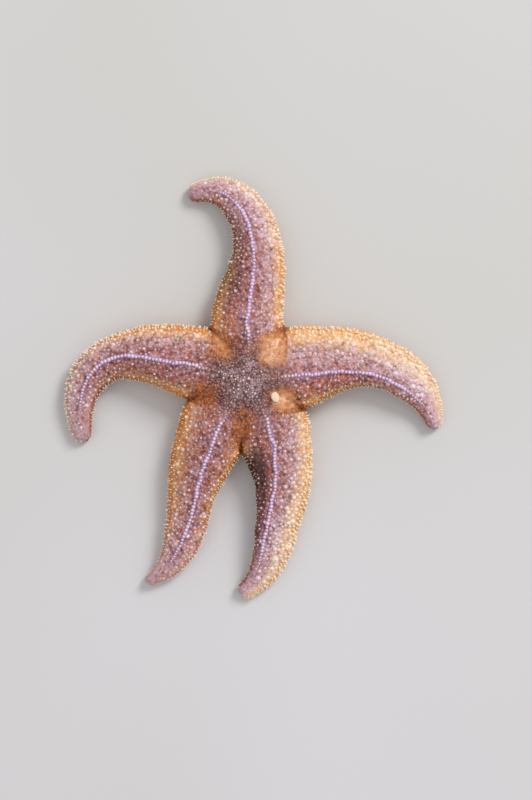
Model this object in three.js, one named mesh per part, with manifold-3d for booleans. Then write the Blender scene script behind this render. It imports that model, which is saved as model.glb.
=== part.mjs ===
// Common starfish, life size, lying on a flat floor. Millimetres, +Z up, floor at z = 0.
//
// Five arms grow out of a low disc. Each arm is a loft along its own bent middle line: domed
// above with a ridge on top, widest a third of the way up, and flat below on both sides of a
// groove. Thin cuts part the body into the disc and three lengths of each arm. The sieve
// plate, the mouth and the eyespots are small pieces that sit in sockets of their own.

import * as THREE from 'three';
import { LoftGeometry } from 'three/addons/geometries/LoftGeometry.js';
import { mergeVertices } from 'three/addons/utils/BufferGeometryUtils.js';
import Module from 'manifold-3d';

const wasm = await Module();
wasm.setup();

// ---- driving dimensions ----------------------------------------------------------------

const GAP = 0.3; // clear space between neighbouring pieces

// Each list has values at six even stations, from the middle of the disc to the tip.
// Headings are degrees from +X towards +Y. A ridge lean is the sideways place of the ridge
// as a share of the half width, positive to the left of someone walking out along the arm.
const ARMS = [
	{
		name: 'arm_top',
		length: 82.8,
		headings: [ 72, 93, 76, 96, 136, 197 ],
		halfWidths: [ 17, 14.1, 11.8, 8.9, 6.9, 3.5 ],
		ridgeLeans: [ 0, 0, 0.02, 0.21, 0.18, 0 ],
	},
	{
		name: 'arm_right',
		length: 80,
		headings: [ 9, 16, 9, - 14, - 44, - 77 ],
		halfWidths: [ 18, 16.2, 12.6, 9.4, 7.7, 3.3 ],
		ridgeLeans: [ 0, - 0.16, - 0.38, - 0.56, - 0.56, - 0.3 ],
	},
	{
		name: 'arm_lower_right',
		length: 81.2,
		headings: [ 308, 294, 281, 261, 255, 219 ],
		halfWidths: [ 16.8, 15.1, 11.8, 9, 7.1, 3.7 ],
		ridgeLeans: [ 0, 0.02, - 0.16, - 0.41, - 0.54, - 0.5 ],
	},
	{
		name: 'arm_lower_left',
		length: 80.5,
		headings: [ 228, 245, 248, 261, 249, 207 ],
		halfWidths: [ 14.8, 13.7, 11.6, 8.4, 6.7, 2.4 ],
		ridgeLeans: [ 0.1, 0.11, 0.16, 0.23, 0, - 0.2 ],
	},
	{
		name: 'arm_left',
		length: 80.2,
		headings: [ 159, 162, 173, 199, 250, 284 ],
		halfWidths: [ 16, 14, 11.3, 8.1, 6.5, 3.8 ],
		ridgeLeans: [ 0, 0.06, 0.16, 0.01, 0.08, 0.1 ],
	},
];
const ARM_HEIGHTS = [ 15.4, 14.8, 12.8, 10.4, 8, 4.8 ]; // over the tips of the ridge spines
const WALL_INSET = 0.3; // of the wall from those widths and heights, which are over its spines
const ARM_STEPS = 19; // loft lengths from the middle of the disc to the last station
const TIP_TURNS = [ 25, 48, 68, 82 ]; // degrees round the blunt tip, past the last station
const LENGTH_CUTS = [ 0.54, 0.77 ]; // where cuts part an arm, as shares of its length

const WIDEST_AT = 0.3; // height of the widest line, as a share of the arm's height
const FLAT_REACH = 0.7; // outer edge of the flats underneath, as a share of the half width
const WALL_TURNS = [ 0, 24, 48, 70, 90, 110, 132, 156, 180 ]; // degrees, edge to edge
const WALL_FULLNESS = 0.9; // 1 is a half ellipse, less is squarer

const GROOVE_HALF_WIDTHS = [ 2.6, 2.5, 2.2, 1.9, 1.6, 1.1 ]; // at the floor
const GROOVE_DEPTHS = [ 3.4, 3.2, 2.8, 2.4, 2, 1.5 ];
const GROOVE_LARGEST_SHARE = 0.42; // of the arm's half width, near a slender tip
const GROOVE_ROOF = 0.5; // width of its roof, as a share of its width at the floor

const DOME_RADIUS = 20.5; // of the dome that fills the middle of the disc
const DOME_HEIGHT = 14.8;
// The disc's five corners, each in the notch on the left of the arm of the same place in
// ARMS: distance from the middle and direction in degrees.
const NOTCHES = [
	[ 23.4, 121 ],
	[ 25, 54 ],
	[ 25.8, - 22 ],
	[ 29, - 90 ],
	[ 22.4, 198 ],
];

const SPINES_FROM = 0.36; // share of an arm's length where its rows of spines begin
const SPINE_ROOT = 0.6; // how deep a spine's foot goes into the wall
const SPINE_RADIUS = 0.75;
const SPINE_SIDES = 3;
const SPINE_REACH = 0.7; // how far it stands out of the wall
const SPINE_SMALLEST = 0.5; // share of its reach, and of the wall's inset, at a slender tip
const SPINE_FULL_WIDTH = 7; // arm half width from which spines are full size
const EDGE_SPINE_PITCH = 3;
const EDGE_SPINE_RISE = 12; // degrees above the floor
const RIDGE_SPINE_PITCH = 3.6;

const SIEVE_PLATE_PLACE = [ 11.2, - 6.5 ];
const SIEVE_PLATE_SIZE = [ 4.1, 3 ];
const SIEVE_PLATE_STANDS = 0.45; // its crown, over the disc's wall
const SIEVE_PLATE_DEPTH = 1.1; // its foot, under the disc's wall
const SIEVE_PLATE_HEADING = - 75; // degrees, of its long side

const MOUTH_RADIUS = 4.6;
const MOUTH_OPENING = 1.3;
const MOUTH_FLOOR = 1.1; // height of its lowest point
const MOUTH_ROOF = 3.1;

const EYE_RADIUS = 0.4;
const EYE_HEIGHT = 0.95;
const EYE_SET_BACK = 0.85; // from the end of the arm

const FAR = 200; // longer than the whole animal, for cutting blocks

// ---- the shape of an arm ---------------------------------------------------------------

const radians = THREE.MathUtils.degToRad;

// Smooth value between even stations, for t from 0 to 1.
function along( stations, t ) {

	const last = stations.length - 1;
	const place = THREE.MathUtils.clamp( t, 0, 1 ) * last;
	const i = Math.min( Math.floor( place ), last - 1 );
	const f = place - i;
	const here = stations[ i ];
	const next = stations[ i + 1 ];
	const before = stations[ i - 1 ] ?? 2 * here - next;
	const after = stations[ i + 2 ] ?? 2 * next - here;
	const slope = ( next - before ) / 2;
	const nextSlope = ( after - here ) / 2;
	const bend = 3 * ( next - here ) - 2 * slope - nextSlope;
	const twist = slope + nextSlope - 2 * ( next - here );
	return here + f * ( slope + f * ( bend + f * twist ) );

}

// The middle line of an arm on the floor: a walk of even strides that follows its headings,
// then straight on round the tip. Distances are measured from the middle of the disc.
class MiddleLine {

	constructor( arm ) {

		this.arm = arm;
		this.tipRadius = arm.halfWidths.at( - 1 );
		this.end = arm.length + this.tipRadius;
		this.strides = 60;
		this.points = [ new THREE.Vector3() ];
		for ( let i = 0; i < this.strides; i ++ ) {

			const step = arm.length / this.strides;
			const stride = this.forward( ( i + 0.5 ) * step ).multiplyScalar( step );
			this.points.push( stride.add( this.points[ i ] ) );

		}

	}

	forward( distance ) {

		const heading = radians( along( this.arm.headings, distance / this.arm.length ) );
		return new THREE.Vector3( Math.cos( heading ), Math.sin( heading ), 0 );

	}

	point( distance ) {

		const place = THREE.MathUtils.clamp( distance / this.arm.length, 0, 1 ) * this.strides;
		const i = Math.min( Math.floor( place ), this.strides - 1 );
		const onLine = this.points[ i ].clone().lerp( this.points[ i + 1 ], place - i );
		const beyond = distance - THREE.MathUtils.clamp( distance, 0, this.arm.length );
		return onLine.addScaledVector( this.forward( distance ), beyond );

	}

	// A point beside the line, across to its left, at a height.
	beside( distance, across, height ) {

		const forward = this.forward( distance );
		const left = new THREE.Vector3( - forward.y, forward.x, 0 );
		return this.point( distance ).addScaledVector( left, across ).setZ( height );

	}

}

// Size of the spines at a distance along an arm, as a share of the full size.
function spineScale( arm, distance ) {

	const width = along( arm.halfWidths, distance / arm.length );
	return THREE.MathUtils.clamp( width / SPINE_FULL_WIDTH, SPINE_SMALLEST, 1 );

}

// Half width of the body wall under its spines, height of its widest line, and height of the
// dome over that line. Past the last station the tip closes as a blunt nose.
function wallSize( line, distance ) {

	const { arm, tipRadius } = line;
	const t = distance / arm.length;
	const past = THREE.MathUtils.clamp( ( distance - arm.length ) / tipRadius, 0, 1 );
	const closing = Math.sqrt( 1 - past * past );
	const inset = WALL_INSET * spineScale( arm, distance );
	const height = along( ARM_HEIGHTS, t ) - inset;
	return {
		halfWidth: ( along( arm.halfWidths, t ) - inset ) * closing,
		widest: WIDEST_AT * height,
		dome: ( 1 - WIDEST_AT ) * height * closing,
	};

}

// A point of the domed wall: turn 0 is the left edge, 90 the ridge and 180 the right edge.
// The lean slides the dome over to one side and leaves the edges in place.
function wallPoint( line, distance, turn ) {

	const { halfWidth, widest, dome } = wallSize( line, distance );
	const lean = along( line.arm.ridgeLeans, distance / line.arm.length );
	const upright = Math.cos( radians( turn ) );
	const across = ( upright + lean ) / ( 1 + upright * lean );
	const rise = Math.max( Math.sin( radians( turn ) ), 0 ) ** WALL_FULLNESS;
	return line.beside( distance, across * halfWidth, widest + dome * rise );

}

// Distances of an arm's sections: even along it, then closer together round the tip.
function sectionDistances( line ) {

	const even = Array.from( { length: ARM_STEPS + 1 }, ( _, i ) => ( i * line.arm.length ) / ARM_STEPS );
	const round = TIP_TURNS.map( ( turn ) => line.arm.length + line.tipRadius * Math.sin( radians( turn ) ) );
	return [ ...even, ...round ];

}

function armSections( line ) {

	return sectionDistances( line ).map( ( distance ) => {

		const flat = FLAT_REACH * wallSize( line, distance ).halfWidth;
		const wall = WALL_TURNS.map( ( turn ) => wallPoint( line, distance, turn ) );
		return [ line.beside( distance, flat, 0 ), ...wall, line.beside( distance, - flat, 0 ) ];

	} );

}

// The groove under an arm as the bar that cuts it, from short of the disc's middle to past
// the tip: wide at the floor and narrow at its roof.
function grooveSections( line ) {

	const under = - 1;
	return [ - 1, ...sectionDistances( line ), line.end + 1 ].map( ( distance ) => {

		const t = distance / line.arm.length;
		const room = GROOVE_LARGEST_SHARE * along( line.arm.halfWidths, t );
		const foot = Math.min( along( GROOVE_HALF_WIDTHS, t ), room );
		const roof = foot * GROOVE_ROOF;
		const depth = along( GROOVE_DEPTHS, t );
		const corners = [ [ foot, under ], [ foot, 0 ], [ roof, depth ] ];
		corners.push( [ - roof, depth ], [ - foot, 0 ], [ - foot, under ] );
		return corners.map( ( [ across, height ] ) => line.beside( distance, across, height ) );

	} );

}

// ---- solids ----------------------------------------------------------------------------

// A closed geometry as a solid that can be joined and cut.
function solidOf( geometry ) {

	const bare = new THREE.BufferGeometry().copy( geometry );
	bare.deleteAttribute( 'normal' );
	bare.deleteAttribute( 'uv' );
	const merged = mergeVertices( bare );
	const vertProperties = new Float32Array( merged.attributes.position.array );
	const triVerts = new Uint32Array( merged.index.array );
	return new wasm.Manifold( new wasm.Mesh( { numProp: 3, vertProperties, triVerts } ) );

}

function geometryOf( solid ) {

	const { vertProperties, triVerts } = solid.getMesh();
	const geometry = new THREE.BufferGeometry();
	geometry.setAttribute( 'position', new THREE.BufferAttribute( vertProperties, 3 ) );
	geometry.setIndex( new THREE.BufferAttribute( triVerts, 1 ) );
	geometry.computeVertexNormals();
	return geometry;

}

const join = ( solids ) => solids.reduce( ( all, solid ) => all.add( solid ) );
const loftSolid = ( sections ) => solidOf( new LoftGeometry( sections, { capStart: true, capEnd: true } ) );

// A pointed spine that stands on a point of the wall, with its foot sunk in.
function spineSolid( foot, direction, scale ) {

	const reach = scale * SPINE_REACH;
	const cone = new THREE.ConeGeometry( SPINE_RADIUS, SPINE_ROOT + reach, SPINE_SIDES );
	const turn = new THREE.Quaternion().setFromUnitVectors( new THREE.Vector3( 0, 1, 0 ), direction );
	const middle = foot.clone().addScaledVector( direction, ( reach - SPINE_ROOT ) / 2 );
	cone.applyMatrix4( new THREE.Matrix4().compose( middle, turn, new THREE.Vector3( 1, 1, 1 ) ) );
	return solidOf( cone );

}

// The row of spines along one edge of an arm, on its left for side 1 and its right for -1.
function edgeSpines( line, side ) {

	const rise = radians( EDGE_SPINE_RISE );
	const spines = [];
	for ( let distance = SPINES_FROM * line.arm.length; distance < line.end - 1; distance += EDGE_SPINE_PITCH ) {

		const foot = wallPoint( line, distance, 90 - side * 86 );
		const outward = foot.clone().sub( line.point( distance ).setZ( foot.z ) ).normalize();
		const direction = outward.multiplyScalar( Math.cos( rise ) ).setZ( Math.sin( rise ) );
		spines.push( spineSolid( foot, direction, spineScale( line.arm, distance ) ) );

	}
	return spines;

}

function ridgeSpines( line ) {

	const { arm } = line;
	const up = new THREE.Vector3( 0, 0, 1 );
	const spines = [];
	for ( let distance = SPINES_FROM * arm.length; distance < arm.length; distance += RIDGE_SPINE_PITCH ) {

		spines.push( spineSolid( wallPoint( line, distance, 90 ), up, spineScale( arm, distance ) ) );

	}
	return spines;

}

// Everything more than half a gap beyond a plane across an arm: outward for side 1, inward
// for side -1.
function blockAcross( line, share, side ) {

	const distance = share * line.arm.length;
	const forward = line.forward( distance );
	const block = new THREE.BoxGeometry( FAR, FAR, FAR );
	block.rotateZ( Math.atan2( forward.y, forward.x ) );
	const middle = line.point( distance ).addScaledVector( forward, ( side * ( FAR + GAP ) ) / 2 );
	block.translate( middle.x, middle.y, 0 );
	return solidOf( block );

}

// The five-sided column that the disc is cut from, grown sideways by at least so much.
function discColumn( grown ) {

	const corners = NOTCHES.map( ( [ distance, direction ] ) => new THREE.Vector2( distance, 0 )
		.rotateAround( new THREE.Vector2(), radians( direction ) ) );
	const sides = corners.map( ( corner, i ) => {

		const next = corners[ ( i + 1 ) % corners.length ];
		return Math.abs( corner.cross( next ) ) / corner.distanceTo( next );

	} );
	const scale = 1 + grown / Math.min( ...sides );
	const outline = new THREE.Shape( corners.map( ( corner ) => corner.multiplyScalar( scale ) ) );
	const column = new THREE.ExtrudeGeometry( outline, { depth: 2 * FAR, bevelEnabled: false } );
	return solidOf( column.translate( 0, 0, - FAR ) );

}

function discDome() {

	const ball = new THREE.SphereGeometry( 1, 20, 8 );
	ball.rotateX( radians( 90 ) );
	ball.scale( DOME_RADIUS, DOME_RADIUS, DOME_HEIGHT );
	const aboveFloor = new THREE.BoxGeometry( FAR, FAR, FAR ).translate( 0, 0, FAR / 2 );
	return solidOf( ball ).intersect( solidOf( aboveFloor ) );

}

// Height of a solid's top over a place on the floor.
function topOver( solid, x, y ) {

	const ray = new THREE.Raycaster( new THREE.Vector3( x, y, FAR ), new THREE.Vector3( 0, 0, - 1 ) );
	return ray.intersectObject( new THREE.Mesh( geometryOf( solid ) ) )[ 0 ].point.z;

}

// A round button turned from a profile of [radius, height] pairs, upright on the origin.
function turned( profile, segments ) {

	const points = profile.map( ( [ radius, height ] ) => new THREE.Vector2( radius, height ) );
	return new THREE.LatheGeometry( points, segments ).rotateX( radians( 90 ) );

}

// The sieve plate, an oval button that leans away from the disc's middle as the wall does.
function sievePlateGeometry( grown, profile, height ) {

	const [ x, y ] = SIEVE_PLATE_PLACE;
	const [ length, width ] = SIEVE_PLATE_SIZE;
	const button = turned( profile, 16 );
	button.scale( length / 2 + grown, width / 2 + grown, 1 );
	button.rotateZ( radians( SIEVE_PLATE_HEADING ) );
	return button.translate( x, y, height );

}

function sievePlate( height ) {

	const foot = - SIEVE_PLATE_DEPTH;
	const crown = SIEVE_PLATE_STANDS;
	const under = [ [ 0, foot ], [ 0.75, foot ], [ 1, 0 ] ];
	const over = [ [ 0.92, 0.6 * crown ], [ 0.6, 0.92 * crown ], [ 0, crown ] ];
	return sievePlateGeometry( 0, [ ...under, ...over ], height );

}

function sievePlateSocket( height ) {

	const foot = - SIEVE_PLATE_DEPTH - GAP;
	const over = 3;
	return sievePlateGeometry( GAP, [ [ 0, foot ], [ 1, foot ], [ 1, over ], [ 0, over ] ], height );

}

// The mouth, a soft ring of lips round a small opening, flat where it meets the disc.
function mouth() {

	const lip = MOUTH_OPENING + 1;
	return turned( [
		[ 0, MOUTH_ROOF - 0.7 ],
		[ MOUTH_OPENING * 0.7, MOUTH_ROOF - 0.8 ],
		[ MOUTH_OPENING, MOUTH_FLOOR + 0.3 ],
		[ lip, MOUTH_FLOOR ],
		[ MOUTH_RADIUS - 0.8, MOUTH_FLOOR + 0.5 ],
		[ MOUTH_RADIUS, MOUTH_ROOF - 0.6 ],
		[ MOUTH_RADIUS, MOUTH_ROOF ],
		[ 0, MOUTH_ROOF ],
	], 20 );

}

function mouthSocket() {

	const radius = MOUTH_RADIUS + GAP;
	const roof = MOUTH_ROOF + GAP;
	return turned( [ [ 0, - 1 ], [ radius, - 1 ], [ radius, roof ], [ 0, roof ] ], 20 );

}

function eye( line, radius ) {

	const place = line.point( line.end - EYE_SET_BACK );
	return new THREE.SphereGeometry( radius, 8, 5 ).translate( place.x, place.y, EYE_HEIGHT );

}

// ---- materials -------------------------------------------------------------------------

const damp = ( color, roughness ) => new THREE.MeshStandardMaterial( { color, roughness, metalness: 0 } );
const discSkin = () => damp( 0x8a6763, 0.55 );
const baseSkin = () => damp( 0xc6743f, 0.55 );
const middleSkin = () => damp( 0xb96f58, 0.55 );
const tipSkin = () => damp( 0xba8590, 0.55 );
const limePlate = () => damp( 0xe8cfa4, 0.7 );
const lipSkin = () => damp( 0xe0b58c, 0.45 );
const redSpot = () => damp( 0xa01c12, 0.3 );

// ---- the animal ------------------------------------------------------------------------

const body = new THREE.Group();

function addPiece( name, geometry, material ) {

	const mesh = new THREE.Mesh( geometry, material );
	mesh.name = name;
	body.add( mesh );

}

const lines = ARMS.map( ( arm ) => new MiddleLine( arm ) );
const bareArms = lines.map( ( line ) => loftSolid( armSections( line ) ) );
const grooves = lines.map( ( line ) => loftSolid( grooveSections( line ) ) );

function addDisc() {

	const filled = join( [ discDome(), ...bareArms ] ).intersect( discColumn( 0 ) );
	const [ x, y ] = SIEVE_PLATE_PLACE;
	const plateHeight = topOver( filled, x, y );
	const cuts = join( [ ...grooves, solidOf( mouthSocket() ), solidOf( sievePlateSocket( plateHeight ) ) ] );
	addPiece( 'disc', geometryOf( filled.subtract( cuts ) ), discSkin() );
	addPiece( 'sieve_plate', sievePlate( plateHeight ), limePlate() );
	addPiece( 'mouth', mouth(), lipSkin() );

}

function addArm( line, bareArm, groove ) {

	const spines = [ ...edgeSpines( line, 1 ), ...edgeSpines( line, - 1 ), ...ridgeSpines( line ) ];
	const spiny = join( [ bareArm, ...spines ] );
	const cuts = join( [ groove, discColumn( GAP ), solidOf( eye( line, EYE_RADIUS + GAP ) ) ] );
	const arm = spiny.subtract( cuts );
	const [ first, second ] = LENGTH_CUTS;
	const { name } = line.arm;
	const base = arm.intersect( blockAcross( line, first, - 1 ) );
	const tip = arm.intersect( blockAcross( line, second, 1 ) );
	const middle = arm.intersect( blockAcross( line, first, 1 ) ).intersect( blockAcross( line, second, - 1 ) );
	addPiece( `${ name }_base`, geometryOf( base ), baseSkin() );
	addPiece( `${ name }_middle`, geometryOf( middle ), middleSkin() );
	addPiece( `${ name }_tip`, geometryOf( tip ), tipSkin() );
	addPiece( `${ name }_eye`, eye( line, EYE_RADIUS ), redSpot() );

}

addDisc();
lines.forEach( ( line, i ) => addArm( line, bareArms[ i ], grooves[ i ] ) );

// The origin is on the floor, under the middle of the whole animal's box.
const middle = new THREE.Box3().setFromObject( body ).getCenter( new THREE.Vector3() );
body.position.set( - middle.x, - middle.y, 0 );
const starfish = new THREE.Group();
starfish.add( body );

export default starfish;
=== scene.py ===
"""Common starfish, life size: one seamless skin, its coat of spines and skin gills, and a stage.

The body is worked out in millimetres over the floor at z = 0 and made in metres. Five arms
leave a low disc. Each arm follows a bent middle line, is domed over a ridge, and has flats and
a groove underneath. Distances along an arm are measured from the middle of the disc.
"""
import functools
import math

import bpy
import numpy as np
from bpy.props import FloatProperty, FloatVectorProperty, PointerProperty
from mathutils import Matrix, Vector
from mathutils.kdtree import KDTree


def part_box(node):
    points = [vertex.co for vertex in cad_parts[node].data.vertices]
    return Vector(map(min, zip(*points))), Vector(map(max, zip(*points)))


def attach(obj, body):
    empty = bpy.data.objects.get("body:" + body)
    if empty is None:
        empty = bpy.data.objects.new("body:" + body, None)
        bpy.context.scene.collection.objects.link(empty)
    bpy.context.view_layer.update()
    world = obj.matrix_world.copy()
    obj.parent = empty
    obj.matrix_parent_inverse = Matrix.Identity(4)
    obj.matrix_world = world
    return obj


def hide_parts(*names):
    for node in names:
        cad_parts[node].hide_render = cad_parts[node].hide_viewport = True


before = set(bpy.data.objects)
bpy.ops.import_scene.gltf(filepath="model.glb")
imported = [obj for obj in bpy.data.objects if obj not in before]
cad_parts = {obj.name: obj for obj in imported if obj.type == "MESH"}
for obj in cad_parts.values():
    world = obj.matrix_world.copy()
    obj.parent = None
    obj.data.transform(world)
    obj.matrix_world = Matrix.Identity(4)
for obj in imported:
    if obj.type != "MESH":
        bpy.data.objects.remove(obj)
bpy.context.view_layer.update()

bl_info = {
    "name": "Common starfish",
    "version": (1, 0, 0),
    "blender": (4, 5, 0),
    "location": "3D View > Sidebar > Starfish",
    "description": "Builds a life-size common starfish with its spines, gills and tube feet",
    "category": "Add Mesh",
}

MM = 0.001
BODY = "root"

# ---- driving sizes ----------------------------------------------------------------------
# Millimetres and degrees, at six even stations from the middle of the disc to the tip, for
# the arms in counter-clockwise order. Headings turn from +X towards +Y. A ridge lean is the
# ridge's place as a share of the half width, positive to the left of someone walking out.
# The dark side is the flank painted darker, partly for its own darker skin and partly as painted
# shade where it faces away from the light: 1 for the left and -1 for the right, less for a weaker
# difference. Painted shade is how much deeper that painted shade is in its middle. Glow is how pale
# the skin is in the corner to the arm's left.
ARMS = {
    "arm_right": {
        "length": 80,
        "headings": (9, 16, 9, -14, -44, -77),
        "half_widths": (18, 16.2, 12.6, 9.4, 7.7, 3.3),
        "ridge_leans": (0, -0.16, -0.38, -0.56, -0.56, -0.3),
        "dark_side": -1, "gloom": 0.3, "glow": 1.0,
    },
    "arm_top": {
        "length": 82.8,
        "headings": (72, 93, 76, 96, 136, 197),
        "half_widths": (17, 14.1, 11.8, 8.9, 6.9, 3.5),
        "ridge_leans": (0, 0, 0.02, 0.21, 0.18, 0),
        "dark_side": 0.78, "gloom": 0.55, "glow": 0.5,
    },
    "arm_left": {
        "length": 80.2,
        "headings": (159, 162, 173, 199, 250, 284),
        "half_widths": (16, 14, 11.3, 8.1, 6.5, 3.8),
        "ridge_leans": (0, 0.06, 0.16, 0.01, 0.08, 0.1),
        "dark_side": 0.62, "gloom": 0.3, "glow": 0.1,
    },
    "arm_lower_left": {
        "length": 80.5,
        "headings": (228, 245, 248, 261, 249, 207),
        "half_widths": (14.8, 13.7, 11.6, 8.4, 6.7, 2.4),
        "ridge_leans": (0.1, 0.11, 0.16, 0.23, 0, -0.2),
        "dark_side": 0.05, "gloom": 0.1, "glow": 0.25,
    },
    "arm_lower_right": {
        "length": 81.2,
        "headings": (308, 294, 281, 261, 255, 219),
        "half_widths": (16.8, 15.1, 11.8, 9, 7.1, 3.7),
        "ridge_leans": (0, 0.02, -0.16, -0.41, -0.54, -0.5),
        "dark_side": -1.1, "gloom": 0.92, "glow": 0.7,
    },
}
STATIONS = 6
ARM_HEIGHTS = (15.4, 14.8, 12.8, 10.4, 8, 4.8)
GROOVE_HALF_WIDTHS = (2.6, 2.5, 2.2, 1.9, 1.6, 1.1)
GROOVE_DEPTHS = (3.4, 3.2, 2.8, 2.4, 2, 1.5)

STRIDES = 60  # straight steps of a middle line
WIDEST_AT = 0.3  # height of the widest line, as a share of the arm's height
FULLNESS = 0.45  # power of the dome's cross-section: a half ellipse is 0.5, less is squarer
FLAT_REACH = 0.7  # outer edge of the flats underneath, as a share of the half width
FLAT_HEIGHT = 0.25  # of the skin of the flats, which rest on their short spines
GROOVE_LARGEST_SHARE = 0.42
LEANS_FROM = 8  # distance from which the ridge leans in full
SPINE_FULL_WIDTH = 7  # arm half width from which spines are full size
SPINE_SMALLEST = 0.5
NOTCH_SEARCH = (8, 45)  # distances between which neighbouring arms part
KNOTS_IN_DISC = 8  # of a middle line, where arms can't be told apart
ARM_MELT = 0.35  # width in height over which neighbouring tops melt into each other
DISC_MELT = 1.8  # the same, in the middle of the disc
MELT_SPAN = (6, 21)  # radii between which that fades
UNDER_SHARPNESS = -3
HOLLOW_SHARPNESS = 6
# Valleys and pale corners between arms: height over them in which they fade, and the radii from the
# middle between which they begin and end.
CREASE = (2.8, (4, 14), (45, 36))
GLOW = (3.6, (3, 17), (25, 17))
SAMPLING = 0.25  # steps in which the nearest place on a middle line is looked for
NARROWEST = 1e-6  # half width to divide by
TINY = 1e-12

# Columns and rows of the skin's grid over and under each arm.
TOP_COLUMNS = 64
UNDER_COLUMNS = 40
DISC_ROWS = 40
ARM_ROWS = 118
NOSE_ROWS = 9

SWELLS = (("swell", 0.22, 7), ("lumps", 0.1, 2.6))  # unevenness of the skin: height and width
CORD_HEIGHT = 0.3  # of the skin along the ridge
CORD_SINK = 0.12  # of the skin beside it
NET_RISE = 0.16  # of the links between the spines over the skin beside them
NET_WIDTH = 0.62  # half width of such a link
NET_REACH = 2.6  # longest gap that a link spans
PATCH = 0.003  # width on the unwrap of one coat piece's patch
ISLAND_MARGIN = 2.0  # between the islands of the unwrap
PLATE_HEADING = -75  # degrees, of the sieve plate's long side
PLATE_SIZE = (3.8, 2.8)
PLATE_CROWN = 0.55
PLATE_SINK = 0.15  # of its edge under its crown's foot
PLATE_SEAT = 1.6  # radius of the skin whose slope it follows

# Random starts, one for each use: the number of the arm is added to some of them.
SEEDS = {"swell": 11, "lumps": 12, "waver": 21, "ridge": 26, "back": 31, "edge": 36, "gills": 41, "feet": 91,
         "under": 101}
LANE_SWAY = (0.55, 0.7)  # rows and columns by which a spine stands off its line
RIDGE_PITCH = 1.3
RIDGE_SPAN = (9, 0.86)  # distance where the rows along the ridges begin, share of the arm where they end
EDGE_ROWS = ((0.9, 1.45, 0.95, 0.5), (0.965, 1.1, 0.4, 0.0))  # place round, pitch, lift, stagger
LOW_EDGE_ROW = (2.5, 1.5, -0.1)  # columns in from the edge underneath, pitch, lift
EDGE_FROM_NOTCH = 1.0  # where those rows begin
EDGE_SHORT_OF_END = 0.8
BACK_TRIES = 60000  # spots tried for the spines of the back, of which few find room
BACK_SPACING = 1.62  # of average spines, less towards the tips and the middle
BACK_CLEARANCE = 1.05  # from the rows of the ridges and margins
GILL_TRIES = 120000
GILL_SPACING = 0.75  # less towards the tips
GILL_CLEARANCE = 0.62  # from the middle of a spine
DISC_SPINES = 19  # radius within which the spines of the back count as the disc's
FOOT_LANES = ((0.24, 1.2, 0.0), (0.62, 1.2, 0.5))  # share of the groove's half width, pitch, stagger
FEET_FROM = 6
FEET_SHORT_OF_END = 1.2
FOOT_SWAY = 0.22  # of their aim to all sides, as a share of the way down
FOOT_CLEARANCE = (0.08, 0.7)  # least and most height of a sucker over the floor
# Rows of slender and blunt spines under each arm, out from the groove: share of the way from
# the groove's rim (0) to the edge of the flats (1), pitch, length, girth, sideways and downward aim.
UNDER_LANES = (
    (-0.12, 0.85, 1.15, 0.9, -0.75, -0.55),
    (0.06, 0.95, 1.1, 1.0, -0.9, -0.06),
    (0.3, 1.7, 1.0, 1.5, 0.95, -0.08),
    (0.66, 1.8, 1.0, 1.6, 0.95, -0.06),
    (1.0, 1.8, 1.05, 1.7, 0.95, -0.04),
)

# Pieces of the coat: slot, random start, to which the number of the arm is added, and the share
# by which the sizes of their forms differ.
COAT_PIECES = {
    "spines_disc": ("spines", 51, 0.2),
    "spines": ("spines", 52, 0.2),
    "ridge": ("spines", 62, 0.2),
    "edge_spines": ("spines", 71, 0.35),
    "gills": ("skin", 81, 0.3),
    "tube_feet": ("tube_feet", 111, 0.0),
    "groove_spines": ("spines", 121, 0.1),
}

UNDER_FROM = 5.6  # distance where the rows at the rim begin
UNDER_LATER = 14  # how much further out those at the edge of the flats begin
UNDER_SHORT_OF_END = 1.0
UNDER_SWAY = 0.12

VIEW_LEVEL = 3  # height over the floor at which the camera's field has its size
LAMPS = {"key": ((1.4, 1.5, 1.55), 0.9), "fill": ((-1.75, -1.25, 1.5), 2.2)}  # place and width in metres


def along(stations, t):
    """Smooth value between even stations, for t from 0 to 1."""
    values = np.asarray(stations, float)
    ends = [2 * values[0] - values[1]], [2 * values[-1] - values[-2]]
    padded = np.concatenate((ends[0], values, ends[1]))
    place = np.clip(t, 0, 1) * (len(values) - 1)
    i = np.minimum(np.asarray(place).astype(int), len(values) - 2)
    f = place - i
    before, here, following, after = (padded[i + k] for k in range(4))
    slope = (following - before) / 2
    next_slope = (after - here) / 2
    bend = 3 * (following - here) - 2 * slope - next_slope
    twist = slope + next_slope - 2 * (following - here)
    return here + f * (slope + f * (bend + f * twist))


def ease(low, high, value):
    """0 below low, 1 above high and a smooth slope between."""
    f = np.clip((value - low) / (high - low), 0, 1)
    return f * f * (3 - 2 * f)


def unit(vectors):
    """Vectors scaled to a length of 1."""
    return vectors / np.maximum(np.linalg.norm(vectors, axis=-1, keepdims=True), TINY)


def waves(points, wavelength, seed, count=24):
    """Smooth uneven field of about -1 to 1, with humps about a wavelength apart."""
    rng = np.random.default_rng(seed)
    headings = unit(rng.normal(size=(count, 3)))
    turns = headings / (wavelength * rng.uniform(0.7, 1.5, (count, 1)))
    angles = 2 * math.pi * (points @ turns.T + rng.uniform(0, 1, count))
    return np.sin(angles).sum(axis=1) / math.sqrt(count)


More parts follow.
